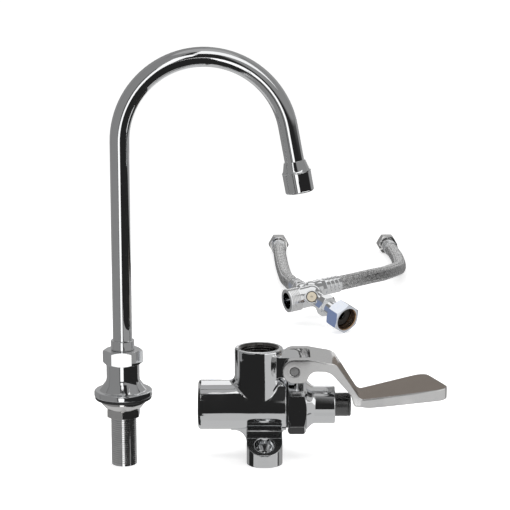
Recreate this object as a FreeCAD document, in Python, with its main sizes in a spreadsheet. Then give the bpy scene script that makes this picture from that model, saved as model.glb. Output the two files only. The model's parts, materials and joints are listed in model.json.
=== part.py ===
import FreeCAD, Part
import math
import os
import Sketcher

# Foot pedal faucet set for a commercial kitchen: a deck mounted swivel gooseneck, a floor mounted
# pedal valve and a mixing tee with two braided supply hoses. Millimetres, +Z up, +X to the right.
# The origin is the foot of the faucet's shank, on the swivel axis of the spout. The shank's end, the
# valve's two feet, the tee's nut and both hose ends stand on the plane z = 0.

# How far a point may lie from a surface and still count as on it
TOUCH = 0.05

doc = FreeCAD.newDocument("foot_pedal_faucet")
sheet = doc.addObject("Spreadsheet::Sheet", "Sizes")


class Size:
    """A measure that carries its value and the sheet formula that gives it."""

    def __init__(self, value, formula):
        self.value = value
        self.formula = formula

    def __add__(self, other):
        other = as_size(other)
        return Size(self.value + other.value, f"({self.formula} + {other.formula})")

    def __sub__(self, other):
        other = as_size(other)
        return Size(self.value - other.value, f"({self.formula} - {other.formula})")

    def __mul__(self, other):
        other = as_size(other)
        return Size(self.value * other.value, f"({self.formula} * {other.formula})")

    def __truediv__(self, other):
        other = as_size(other)
        return Size(self.value / other.value, f"({self.formula} / {other.formula})")

    def __neg__(self):
        return Size(-self.value, f"(0 - {self.formula})")

    def __radd__(self, other):
        return as_size(other) + self

    def __rsub__(self, other):
        return as_size(other) - self

    __rmul__ = __mul__


def as_size(number):
    return number if isinstance(number, Size) else Size(float(number), repr(float(number)))


def sine(angle):
    return Size(math.sin(math.radians(angle.value)), f"sin({angle.formula})")


def cosine(angle):
    return Size(math.cos(math.radians(angle.value)), f"cos({angle.formula})")


# Driving sizes, one row of the sheet each: name, value, what it is
driving_sizes = [
    # Fits and working clearances
    ("running_gap", 0.05, "radial play of a pin or rod that turns or slides in its bore"),
    ("thread_gap", 0.05, "radial play between a male and a female thread"),
    ("seat_gap", 0.3, "play between faces that move past each other"),
    ("edge_round", 0.8, "rounding of a polished edge"),
    ("nut_slope", 0.577, "rise of a nut's corner chamfer, 30 degrees"),
    # Gooseneck faucet, below the deck
    ("shank_diameter", 20.96, "G 1/2 pipe thread, major diameter"),
    ("shank_length", 59.0, "shank end to the underside of the flange"),
    ("shank_bore", 14.0, "water way"),
    ("relief_height", 0.8, "groove between the supply nut's thread and the locknut's"),
    ("relief_depth", 0.6, ""),
    ("locknut_flats", 26.0, "across flats"),
    ("locknut_height", 7.6, ""),
    ("clamp_diameter", 38.0, "conical clamping washer"),
    ("clamp_foot", 29.0, "diameter at its lower end"),
    ("clamp_height", 8.0, ""),
    ("gasket_diameter", 47.0, "rubber deck gasket"),
    ("gasket_height", 2.5, ""),
    # Gooseneck faucet, above the deck
    ("flange_diameter", 48.3, ""),
    ("flange_height", 5.0, ""),
    ("flare_height", 8.0, "concave sweep from the flange to the barrel"),
    ("flare_foot", 40.0, "diameter where the sweep leaves the flange"),
    ("barrel_diameter", 27.5, ""),
    ("barrel_height", 22.3, "flange top to the nut seat"),
    ("neck_diameter", 25.2, "male thread for the packing nut"),
    ("neck_height", 7.9, ""),
    ("socket_diameter", 22.0, "bore that the spout's sleeve turns in"),
    ("socket_depth", 24.8, ""),
    ("packing_flats", 29.0, "packing nut across flats"),
    ("packing_height", 11.9, ""),
    ("packing_roof", 3.5, "thickness over the threaded cavity"),
    ("collar_diameter", 19.5, ""),
    ("collar_height", 7.8, ""),
    # Gooseneck spout
    ("tube_diameter", 16.0, ""),
    ("tube_wall", 1.2, ""),
    ("arch_level", 270.6, "height of the arch's centre over the shank end"),
    ("arch_radius", 68.7, "centre line"),
    ("arch_turn", 169.4, "degrees that the arch turns the tube"),
    ("drop_length", 30.4, "straight tube after the arch"),
    ("sleeve_height", 22.0, "brazed swivel sleeve"),
    ("ring_thickness", 1.7, "O-ring section"),
    ("ring_pinch", 0.09, "gap left round an O-ring"),
    ("ring_inset", 5.0, "O-ring to the end of the sleeve"),
    ("washer_height", 2.4, "plastic swivel washer"),
    # Outlet and aerator
    ("outlet_diameter", 23.5, ""),
    ("outlet_mouth", 17.4, "open end"),
    ("outlet_length", 18.0, ""),
    ("outlet_taper", 6.0, "length of the cone over the tube"),
    ("outlet_lap", 2.0, "how far the cone reaches up the tube"),
    ("outlet_thread", 20.8, "aerator thread"),
    ("outlet_thread_length", 8.0, ""),
    ("insert_diameter", 19.0, "flow straightener"),
    ("insert_height", 5.0, ""),
    ("insert_flange", 1.0, ""),
    ("outlet_washer", 1.5, ""),
    ("screen_height", 0.4, ""),
    ("screen_pitch", 3.4, "spacing of the screen's holes"),
    ("screen_hole", 2.4, ""),
    # Pedal valve casting
    ("valve_across", 112.8, "swivel axis to the valve's upright port"),
    ("valve_back", 25.0, "swivel axis to the valve's centre plane"),
    ("valve_level", 43.6, "floor to the axis of the casting"),
    ("casting_diameter", 42.0, ""),
    ("casting_left", 51.3, "upright port axis to the left port's face"),
    ("casting_right", 23.6, "upright port axis to the bonnet's seat"),
    ("upright_diameter", 41.0, ""),
    ("upright_rise", 49.9, "casting axis to the upright port's rim"),
    ("port_thread", 30.4, "G 1 female thread, minor diameter"),
    ("port_mouth", 34.4, "chamfer at the mouth of a port"),
    ("port_depth", 16.0, "threaded depth"),
    ("port_passage", 23.0, "bore behind the thread"),
    ("chamber_diameter", 26.0, "outlet chamber"),
    ("seat_web", 5.0, "wall that carries the seat"),
    ("seat_offset", 14.0, "upright port axis to the wall's right face"),
    ("rim_round", 1.4, ""),
    ("end_round", 2.6, "rounding of the left port's outer edge"),
    ("blend_radius", 5.0, "blend of the casting's cylinders"),
    ("lug_blend", 3.0, "blend of the lug into the upright port"),
    ("web_width", 17.0, "webs that carry the foot's sides into the barrel"),
    ("web_level", 20.2, "casting axis down to the upper edge of a web's hollow"),
    ("left_web", 11.0, "hollow of the left web"),
    ("right_web", 3.0, "hollow of the right web"),
    # Mounting foot of the pedal valve
    ("foot_offset", 4.8, "upright port axis to the foot's middle"),
    ("foot_width", 30.0, ""),
    ("foot_reach", 40.0, "centre plane to the tip of an ear"),
    ("foot_lip", 10.5, "height at the tip"),
    ("foot_crest", 20.0, "height at the top of the sloped face"),
    ("crest_reach", 20.5, "centre plane to the crest"),
    ("neck_reach", 10.5, "half thickness of the foot's neck"),
    ("neck_blend", 3.0, "blend of the neck into the barrel"),
    ("neck_level", 27.0, "where the neck meets the barrel"),
    ("screw_reach", 28.0, "centre plane to a floor screw"),
    ("screw_hole", 8.5, ""),
    ("screw_sink", 17.0, "countersink"),
    ("screw_floor", 5.0, "height of the countersink's small end"),
    # Pivot lug, pin and pedal
    ("pivot_across", 29.7, "upright port axis to the pivot"),
    ("pivot_rise", 34.8, "casting axis to the pivot"),
    ("pin_diameter", 8.0, ""),
    ("lug_width", 30.0, ""),
    ("lug_radius", 8.6, ""),
    ("lug_lift", 1.0, "lug head centre over the pivot"),
    ("fork_gap", 30.6, "slot of the fork"),
    ("fork_width", 48.0, ""),
    ("fork_slot", 13.5, "pivot to the end of the slot"),
    ("eye_radius", 10.0, ""),
    ("lever_reach", 128.4, "pivot to the paddle's end"),
    ("waist_width", 36.0, "width of the arm below the knee"),
    ("paddle_width", 62.0, ""),
    ("paddle_edge", 9.6, "height of the paddle's end"),
    ("paddle_round", 12.0, ""),
    # Bonnet, plunger and stem
    ("bonnet_flats", 45.9, ""),
    ("bonnet_height", 15.6, "length of the hexagon"),
    ("bonnet_gasket", 1.0, ""),
    ("bonnet_thread", 30.0, ""),
    ("bonnet_thread_length", 12.6, ""),
    ("bonnet_neck", 5.8, "length of the neck behind the hexagon"),
    ("guide_diameter", 32.0, "sleeve round the plunger"),
    ("guide_length", 18.4, ""),
    ("guide_lip", 14.4, "length of the plunger's bore"),
    ("spring_room", 25.0, "bore of the spring chamber"),
    ("spring_start", 26.0, "upright port axis to the spring's fixed end"),
    ("plunger_diameter", 20.0, ""),
    ("plunger_reach", 13.5, "plunger beyond the guide sleeve"),
    ("plunger_head", 3.7, "shoulder that keeps the plunger in"),
    ("plunger_stub", 6.0, "spring guide behind the shoulder"),
    ("stem_diameter", 8.4, ""),
    ("seat_bore", 15.0, ""),
    ("seat_diameter", 19.0, ""),
    ("seat_flange", 1.5, ""),
    ("disc_diameter", 19.0, "rubber seat washer"),
    ("disc_height", 3.0, ""),
    ("screw_diameter", 5.0, "screw that holds the seat washer"),
    ("screw_head", 3.0, ""),
    ("packing_diameter", 15.0, ""),
    ("packing_ring_height", 3.0, ""),
    ("wire_diameter", 1.8, "return spring"),
    ("spring_turns", 5, ""),
    # Mixing tee
    ("tee_across", 174.0, "swivel axis to the tee's centre"),
    ("tee_back", 505.0, ""),
    ("tee_level", 32.4, ""),
    ("tee_diameter", 24.0, "run of the tee"),
    ("branch_diameter", 18.0, ""),
    ("male_diameter", 26.44, "G 3/4 pipe thread, major diameter"),
    ("male_bore", 19.0, ""),
    ("male_reach", 31.5, "centre to the face of the male port"),
    ("male_thread_length", 15.0, ""),
    ("male_azimuth", -155.0, "degrees from +X"),
    ("male_tilt", -6.0, "degrees over the horizontal"),
    ("nut_azimuth", -54.0, ""),
    ("nut_tilt", -13.9, ""),
    ("right_across", 0.0, "tee's centre to the right hose boss"),
    ("right_back", 14.0, ""),
    ("right_rise", 4.2, ""),
    ("right_azimuth", 32.0, ""),
    ("right_tilt", 4.0, ""),
    ("left_across", -10.0, "tee's centre to the left hose boss"),
    ("left_back", 14.0, ""),
    ("left_rise", 2.2, ""),
    ("left_azimuth", 101.0, ""),
    ("left_tilt", -3.0, ""),
    ("boss_diameter", 19.0, "hose boss"),
    ("boss_reach", 11.0, "root of a hose boss to the nipple's seat"),
    ("plug_azimuth", -91.0, ""),
    ("plug_tilt", 8.0, ""),
    ("plug_diameter", 11.4, ""),
    ("plug_reach", 18.5, ""),
    ("plug_depth", 3.0, ""),
    ("plug_ring", 0.8, "width of the seal round the plug"),
    ("tee_passage", 10.0, ""),
    ("branch_reach", 23.0, "centre to the tailpiece's seat"),
    ("tail_thread", 12.4, ""),
    ("tail_thread_length", 6.0, ""),
    ("tail_flats", 22.0, ""),
    ("tail_hex", 9.0, ""),
    ("tail_diameter", 17.0, ""),
    ("tail_length", 31.0, "seat to the tailpiece's face"),
    ("tail_flange", 23.0, ""),
    ("tail_flange_height", 3.0, ""),
    ("coupling_flats", 30.0, "G 3/4 swivel nut across flats"),
    ("coupling_bore", 24.2, "female thread, minor diameter"),
    ("coupling_height", 17.5, ""),
    ("coupling_wall", 2.0, ""),
    ("coupling_play", 0.4, "nut's wall to the flange"),
    ("coupling_washer", 2.0, ""),
    ("thread_relief", 0.5, "depth of the groove behind a nut's thread"),
    # Supply hoses
    ("hose_diameter", 17.0, "over the braid"),
    ("hose_bore", 9.0, ""),
    ("ferrule_diameter", 19.4, ""),
    ("ferrule_length", 22.0, ""),
    ("crimp_depth", 0.5, ""),
    ("crimp_width", 2.2, ""),
    ("nipple_flats", 18.0, ""),
    ("nipple_hex", 5.0, ""),
    ("nipple_thread", 13.0, ""),
    ("nipple_thread_length", 7.0, ""),
    ("check_diameter", 10.4, "check valve cartridge"),
    ("check_length", 5.0, ""),
    ("end_neck", 12.8, "tail behind the end nut"),
    ("end_tail_length", 11.0, ""),
    ("end_flange", 17.8, ""),
    ("end_flange_height", 2.0, ""),
    ("end_flats", 24.0, "G 1/2 hose nut across flats"),
    ("end_bore", 18.7, "female thread, minor diameter"),
    ("end_height", 16.0, ""),
    ("end_wall", 2.0, ""),
    ("end_washer", 2.0, ""),
]

sizes = {}
for row, (name, number, meaning) in enumerate(driving_sizes, start=1):
    sheet.set(f"A{row}", name)
    sheet.set(f"B{row}", str(number))
    sheet.set(f"C{row}", meaning)
    sheet.setAlias(f"B{row}", name)
    sizes[name] = Size(float(number), f"Sizes.{name}")
doc.recompute()


class Sheet:
    """The driving sizes as attributes."""

    def __getattr__(self, name):
        return sizes[name]


s = Sheet()
parts = []


# Helpers for sketches, bodies and placements

def axis_plane(body, role):
    for feature in body.Origin.OriginFeatures:
        if feature.Role == role:
            return feature
    raise RuntimeError(f"{role} is missing")


def new_body(label, base=(0, 0, 0), rotation=None):
    """A named piece; its place follows the sheet."""
    body = doc.addObject("PartDesign::Body", "Body")
    body.Label = label
    if rotation is not None:
        body.Placement = FreeCAD.Placement(FreeCAD.Vector(), rotation)
    for axis, distance in zip("xyz", base):
        body.setExpression(f"Placement.Base.{axis}", as_size(distance).formula)
    parts.append(body)
    return body


def new_sketch(body, role, offset=(0, 0, 0)):
    sketch = body.newObject("Sketcher::SketchObject", "Sketch")
    sketch.AttachmentSupport = [(axis_plane(body, role), "")]
    sketch.MapMode = "FlatFace"
    for axis, distance in zip("xyz", offset):
        distance = as_size(distance)
        if distance.value or "Sizes" in distance.formula:
            sketch.setExpression(f"AttachmentOffset.Base.{axis}", distance.formula)
    return sketch


def bind(sketch, kind, geometry, place, size):
    size = as_size(size)
    if kind == "Radius":
        index = sketch.addConstraint(Sketcher.Constraint(kind, geometry, size.value))
    else:
        index = sketch.addConstraint(Sketcher.Constraint(kind, geometry, place, size.value))
    sketch.setExpression(f"Constraints[{index}]", size.formula)


def pin_point(sketch, geometry, place, corner):
    bind(sketch, "DistanceX", geometry, place, corner[0])
    bind(sketch, "DistanceY", geometry, place, corner[1])


def add_circle(sketch, x, y, radius):
    x, y, radius = as_size(x), as_size(y), as_size(radius)
    centre = FreeCAD.Vector(x.value, y.value, 0)
    circle = sketch.addGeometry(Part.Circle(centre, FreeCAD.Vector(0, 0, 1), radius.value))
    pin_point(sketch, circle, 3, (x, y))
    bind(sketch, "Radius", circle, 0, radius)


def add_outline(sketch, corners):
    """Closed outline through the corners; a third value rounds its corner with that radius."""
    spots = [FreeCAD.Vector(as_size(c[0]).value, as_size(c[1]).value, 0) for c in corners]
    rounds = [as_size(c[2]).value if len(c) > 2 else 0 for c in corners]
    count = len(corners)
    arrive, leave = [], []
    for index, spot in enumerate(spots):
        before = (spots[index - 1] - spot).normalize()
        after = (spots[(index + 1) % count] - spot).normalize()
        half = before.getAngle(after) / 2
        run = rounds[index] / math.tan(half) if rounds[index] else 0
        arrive.append(spot + before * run)
        leave.append(spot + after * run)
    lines = []
    for index in range(count):
        line = Part.LineSegment(leave[index], arrive[(index + 1) % count])
        lines.append(sketch.addGeometry(line))
    for index in range(count):
        first, second = lines[index - 1], lines[index]
        if not rounds[index]:
            sketch.addConstraint(Sketcher.Constraint("Coincident", first, 2, second, 1))
            pin_point(sketch, second, 1, corners[index])
            continue
        spot = spots[index]
        inward = ((arrive[index] + leave[index]) * 0.5 - spot).normalize()
        before = arrive[index] - spot
        middle = spot + inward * math.hypot(before.Length, rounds[index])
        turn = (arrive[index] - middle).cross(leave[index] - middle).z
        start, end = (arrive[index], leave[index]) if turn > 0 else (leave[index], arrive[index])
        circle = Part.Circle(middle, FreeCAD.Vector(0, 0, 1), rounds[index])
        from_angle = math.atan2(start.y - middle.y, start.x - middle.x)
        to_angle = math.atan2(end.y - middle.y, end.x - middle.x)
        if to_angle < from_angle:
            to_angle += 2 * math.pi
        arc = sketch.addGeometry(Part.ArcOfCircle(circle, from_angle, to_angle))
        first_end, second_end = (1, 2) if turn > 0 else (2, 1)
        sketch.addConstraint(Sketcher.Constraint("Tangent", first, 2, arc, first_end))
        sketch.addConstraint(Sketcher.Constraint("Tangent", second, 1, arc, second_end))
        bind(sketch, "Radius", arc, 0, corners[index][2])
        point = sketch.addGeometry(Part.Point(spot), True)
        pin_point(sketch, point, 1, corners[index])
        sketch.addConstraint(Sketcher.Constraint("PointOnObject", point, 1, first))
        sketch.addConstraint(Sketcher.Constraint("PointOnObject", point, 1, second))


def turn(body, corners, axis="V_Axis", cut=False, offset=(0, 0, 0)):
    """Full turn of an outline about the sketch's upright or level axis, in the XZ plane."""
    sketch = new_sketch(body, "XZ_Plane", offset)
    add_outline(sketch, corners)
    kind = "PartDesign::Groove" if cut else "PartDesign::Revolution"
    feature = body.newObject(kind, "Turn")
    feature.Profile = sketch
    feature.ReferenceAxis = (sketch, [axis])
    feature.Angle = 360
    return feature


def extrude(body, role, corners, length, offset=(0, 0, 0), middle=False, cut=False, flip=False, holes=()):
    """Pad or pocket of an outline; holes are circles as x, y, radius."""
    sketch = new_sketch(body, role, offset)
    if corners:
        add_outline(sketch, corners)
    for hole in holes:
        add_circle(sketch, *hole)
    feature = body.newObject("PartDesign::Pocket" if cut else "PartDesign::Pad", "Extrude")
    feature.Profile = sketch
    feature.Midplane = middle
    feature.Reversed = flip
    feature.setExpression("Length", as_size(length).formula)
    return feature


def turned_part(label, corners, axis="V_Axis", base=(0, 0, 0), rotation=None):
    body = new_body(label, base, rotation)
    turn(body, corners, axis)
    return body


def hexagon(flats, corner_on_x=True):
    """Corners of a hexagon about the sketch's origin."""
    radius = flats / math.sqrt(3)
    start = 0 if corner_on_x else 30
    angles = [math.radians(start + 60 * index) for index in range(6)]
    return [(radius * math.cos(a), radius * math.sin(a)) for a in angles]


def bevel_hexagon(body, flats, level, upward, axis="V_Axis"):
    """Cone cut that takes the corners off a hexagon's end face."""
    inner = flats / 2
    outer = flats * 0.62
    drop = (outer - inner) * s.nut_slope
    end = level - drop if upward else level + drop
    corners = [(inner, level), (outer, level), (outer, end)]
    if axis == "H_Axis":
        corners = [(along, across) for across, along in corners]
    turn(body, corners, axis, cut=True)


def hex_nut(label, flats, low, high, bore, corner_on_x=True, base=(0, 0, 0), rotation=None):
    """Nut on the piece's own Z axis; bore is the half section that is taken out."""
    body = new_body(label, base, rotation)
    extrude(body, "XY_Plane", hexagon(flats, corner_on_x), high - low, offset=(0, 0, low))
    turn(body, bore, cut=True)
    bevel_hexagon(body, flats, high, True)
    bevel_hexagon(body, flats, low, False)
    return body


def direction(azimuth, tilt):
    level = math.cos(math.radians(tilt))
    return FreeCAD.Vector(level * math.cos(math.radians(azimuth)),
                          level * math.sin(math.radians(azimuth)),
                          math.sin(math.radians(tilt)))


def aim(vector):
    """Rotation that brings a piece's own Z axis to the vector, with its X axis level."""
    across = FreeCAD.Vector(0, 0, 1).cross(vector).normalize()
    return FreeCAD.Rotation(across, vector.cross(across), vector, "ZXY")


# Gooseneck faucet: base, seals and nuts on the swivel axis

shank_radius = s.shank_diameter / 2
tube_radius = s.tube_diameter / 2
flange_top = s.shank_length + s.flange_height
flare_top = flange_top + s.flare_height
barrel_top = flange_top + s.barrel_height
neck_top = barrel_top + s.neck_height
socket_floor = neck_top - s.socket_depth
gasket_base = s.shank_length - s.gasket_height
clamp_base = gasket_base - s.clamp_height
locknut_base = clamp_base - s.locknut_height
roof_base = barrel_top + s.packing_height - s.packing_roof
packing_top = barrel_top + s.packing_height


def make_faucet_base():
    barrel = s.barrel_diameter / 2
    flare = s.flare_foot / 2
    bore = s.shank_bore / 2
    body = new_body("faucet_base")
    turn(body, [
        (bore, 0),
        (shank_radius, 0),
        (shank_radius, locknut_base - s.relief_height),
        (shank_radius - s.relief_depth, locknut_base - s.relief_height),
        (shank_radius - s.relief_depth, locknut_base),
        (shank_radius, locknut_base),
        (shank_radius, s.shank_length),
        (s.flange_diameter / 2, s.shank_length, s.edge_round),
        (s.flange_diameter / 2, flange_top, s.flange_height / 3),
        (flare, flange_top, s.flange_height / 3),
        (barrel, flare_top, s.flare_height),
        (barrel, barrel_top),
        (s.neck_diameter / 2, barrel_top),
        (s.neck_diameter / 2, neck_top),
        (s.socket_diameter / 2, neck_top),
        (s.socket_diameter / 2, socket_floor),
        (bore, socket_floor),
    ])


def make_deck_stack():
    clear = shank_radius + s.thread_gap
    turned_part("deck_gasket", [
        (clear, gasket_base),
        (s.gasket_diameter / 2, gasket_base, s.edge_round),
        (s.gasket_diameter / 2, s.shank_length, s.edge_round),
        (clear, s.shank_length),
    ])
    turned_part("clamp_washer", [
        (clear, clamp_base),
        (s.clamp_foot / 2, clamp_base, s.edge_round),
        (s.clamp_diameter / 2, gasket_base - s.clamp_height / 3, s.edge_round * 2),
        (s.clamp_diameter / 2, gasket_base, s.edge_round),
        (clear, gasket_base),
    ])
    hex_nut("locknut", s.locknut_flats, locknut_base, clamp_base, [
        (0, locknut_base - 1),
        (clear, locknut_base - 1),
        (clear, clamp_base + 1),
        (0, clamp_base + 1),
    ], corner_on_x=False)


def make_packing_nut():
    thread = s.neck_diameter / 2 + s.thread_gap
    passage = tube_radius + s.seat_gap
    hex_nut("packing_nut", s.packing_flats, barrel_top, packing_top, [
        (0, barrel_top - 1),
        (thread, barrel_top - 1),
        (thread, roof_base),
        (passage, roof_base),
        (passage, packing_top + 1),
        (0, packing_top + 1),
    ])


# Gooseneck spout: everything here turns about the swivel axis

sleeve_base = socket_floor + s.seat_gap
sleeve_top = sleeve_base + s.sleeve_height
outlet_spot = (
    s.arch_radius * (1 - cosine(s.arch_turn)) + s.drop_length * sine(s.arch_turn),
    as_size(0),
    s.arch_level + s.arch_radius * sine(s.arch_turn) + s.drop_length * cosine(s.arch_turn),
)
outlet_turn = FreeCAD.Rotation(FreeCAD.Vector(0, 1, 0), s.arch_turn.value)


def make_spout_tube():
    """Tube swept up, over the arch and down to the outlet."""
    body = new_body("spout_tube")
    section = new_sketch(body, "XY_Plane", (0, 0, sleeve_base))
    add_circle(section, 0, 0, tube_radius)
    add_circle(section, 0, 0, tube_radius - s.tube_wall)
    path = new_sketch(body, "XZ_Plane")
    start, finish = -math.cos(math.radians(s.arch_turn.value)), math.sin(math.radians(s.arch_turn.value))
    radius = s.arch_radius.value
    foot = FreeCAD.Vector(0, sleeve_base.value, 0)
    spring = FreeCAD.Vector(0, s.arch_level.value, 0)
    centre = FreeCAD.Vector(radius, s.arch_level.value, 0)
    landing = centre + FreeCAD.Vector(start, finish, 0) * radius
    end = FreeCAD.Vector(outlet_spot[0].value, outlet_spot[2].value, 0)
    riser = path.addGeometry(Part.LineSegment(foot, spring))
    circle = Part.Circle(centre, FreeCAD.Vector(0, 0, 1), radius)
    low = math.pi - math.radians(s.arch_turn.value)
    arch = path.addGeometry(Part.ArcOfCircle(circle, low, math.pi))
    drop = path.addGeometry(Part.LineSegment(landing, end))
    path.addConstraint(Sketcher.Constraint("Tangent", riser, 2, arch, 2))
    path.addConstraint(Sketcher.Constraint("Tangent", arch, 1, drop, 1))
    bind(path, "Radius", arch, 0, s.arch_radius)
    pin_point(path, riser, 1, (0, sleeve_base))
    pin_point(path, riser, 2, (0, s.arch_level))
    pin_point(path, drop, 2, (outlet_spot[0], outlet_spot[2]))
    pipe = body.newObject("PartDesign::AdditivePipe", "Pipe")
    pipe.Profile = section
    pipe.Spine = path


def make_spout_swivel():
    sleeve = s.socket_diameter / 2 - s.running_gap
    groove = sleeve - s.ring_thickness
    middle = sleeve - s.ring_thickness / 2 + s.running_gap - s.ring_pinch / 2
    half = s.ring_thickness * 0.6
    body = new_body("swivel_sleeve")
    turn(body, [
        (tube_radius, sleeve_base),
        (sleeve, sleeve_base, s.edge_round),
        (sleeve, sleeve_top, s.edge_round),
        (tube_radius, sleeve_top),
    ])
    levels = {"lower": sleeve_base + s.ring_inset, "upper": sleeve_top - s.ring_inset}
    for name, level in levels.items():
        turn(body, [
            (groove, level - half),
            (sleeve + 1, level - half),
            (sleeve + 1, level + half),
            (groove, level + half),
        ], cut=True)
        ring = doc.addObject("Part::Torus", "Ring")
        ring.Label = f"{name}_o_ring"
        ring.setExpression("Radius1", middle.formula)
        ring.setExpression("Radius2", ((s.ring_thickness - s.ring_pinch) / 2).formula)
        ring.setExpression("Placement.Base.z", level.formula)
        parts.append(ring)
    washer_base = sleeve_top + s.seat_gap
    turned_part("swivel_washer", [
        (tube_radius + s.running_gap, washer_base),
        (sleeve, washer_base),
        (sleeve, washer_base + s.washer_height),
        (tube_radius + s.running_gap, washer_base + s.washer_height),
    ])
    collar_base = packing_top + s.seat_gap
    turned_part("spout_collar", [
        (tube_radius, collar_base),
        (s.collar_diameter / 2, collar_base),
        (s.collar_diameter / 2, collar_base + s.collar_height, s.edge_round),
        (tube_radius, collar_base + s.collar_height),
    ])


def make_outlet():
    """Outlet pieces, drawn along their own Z axis from the end of the tube."""
    place = {"base": outlet_spot, "rotation": outlet_turn}
    outer = s.outlet_diameter / 2
    bore = tube_radius - s.tube_wall
    thread = s.outlet_thread / 2
    thread_end = s.outlet_taper + s.outlet_thread_length
    washer_end = thread_end + s.outlet_washer
    ledge = washer_end + s.insert_flange
    insert = s.insert_diameter / 2
    insert_end = washer_end + s.insert_height
    mouth = s.outlet_mouth / 2
    shell_end = s.outlet_taper + s.outlet_length
    turned_part("outlet_adapter", [
        (bore, 0),
        (tube_radius, 0),
        (tube_radius, -s.outlet_lap),
        (tube_radius + s.edge_round, -s.outlet_lap),
        (outer - s.edge_round, s.outlet_taper, s.outlet_taper),
        (outer, s.outlet_taper + s.edge_round),
        (outer, s.outlet_taper + s.edge_round * 2),
        (thread, s.outlet_taper + s.edge_round * 2),
        (thread, thread_end),
        (bore, thread_end),
    ], **place)
    shell_start = s.outlet_taper + s.edge_round * 2
    screen_end = insert_end + s.screen_height
    turned_part("aerator_shell", [
        (thread + s.thread_gap, shell_start),
        (outer, shell_start),
        (outer, shell_end, s.edge_round * 2),
        (mouth, shell_end, s.edge_round),
        (mouth, screen_end),
        (insert + s.thread_gap, screen_end),
        (insert + s.thread_gap, ledge),
        (thread + s.thread_gap, ledge),
    ], **place)
    turned_part("aerator_washer", [
        (bore, thread_end),
        (thread, thread_end),
        (thread, washer_end),
        (bore, washer_end),
    ], **place)
    body = turned_part("aerator_insert", [
        (bore, washer_end),
        (thread, washer_end),
        (thread, ledge),
        (insert, ledge),
        (insert, insert_end),
        (bore, insert_end),
    ], **place)
    rib = s.screen_height * 2
    for half_x, half_y in ((bore + rib, rib / 2), (rib / 2, bore + rib)):
        extrude(body, "XY_Plane", [
            (-half_x, -half_y),
            (half_x, -half_y),
            (half_x, half_y),
            (-half_x, half_y),
        ], s.insert_height, offset=(0, 0, washer_end))
    body = turned_part("aerator_screen", [
        (0, insert_end),
        (insert, insert_end),
        (insert, screen_end),
        (0, screen_end),
    ], **place)
    holes = [(0, 0, s.screen_hole / 2)]
    for ring in (1, 2):
        for step in range(6 * ring):
            angle = math.radians(60 * step / ring)
            reach = s.screen_pitch * ring
            holes.append((reach * math.cos(angle), reach * math.sin(angle), s.screen_hole / 2))
    extrude(body, "XY_Plane", [], s.screen_height * 4, offset=(0, 0, insert_end), middle=True,
            cut=True, holes=holes)


# Pedal valve: drawn from the crossing of its two port axes

valve_spot = (s.valve_across, s.valve_back, s.valve_level)
floor = -s.valve_level
casting_radius = s.casting_diameter / 2
bonnet_start = s.casting_right + s.bonnet_gasket
hexagon_end = bonnet_start + s.bonnet_height
neck_end = hexagon_end + s.bonnet_neck
guide_end = neck_end + s.guide_length
lip_start = guide_end - s.guide_lip
plunger_end = guide_end + s.plunger_reach
shoulder_end = lip_start - s.seat_gap
shoulder_start = shoulder_end - s.plunger_head
stub_start = shoulder_start - s.plunger_stub
stem_radius = s.stem_diameter / 2
web_left = -(s.seat_offset + s.seat_web)
seat_face = web_left - s.seat_flange
disc_right = seat_face - s.running_gap
disc_left = disc_right - s.disc_height


def foot_outline():
    """Front half of the foot's side, from the centre plane out to the tip of one ear."""
    return [
        (0, floor),
        (s.foot_reach, floor, s.edge_round / 2),
        (s.foot_reach, floor + s.foot_lip, 2),
        (s.crest_reach, floor + s.foot_crest, 1.5),
        (s.neck_reach, floor + s.foot_crest, 2.5),
        (s.neck_reach, floor + s.neck_level + 4),
        (0, floor + s.neck_level + 4),
    ]


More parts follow.
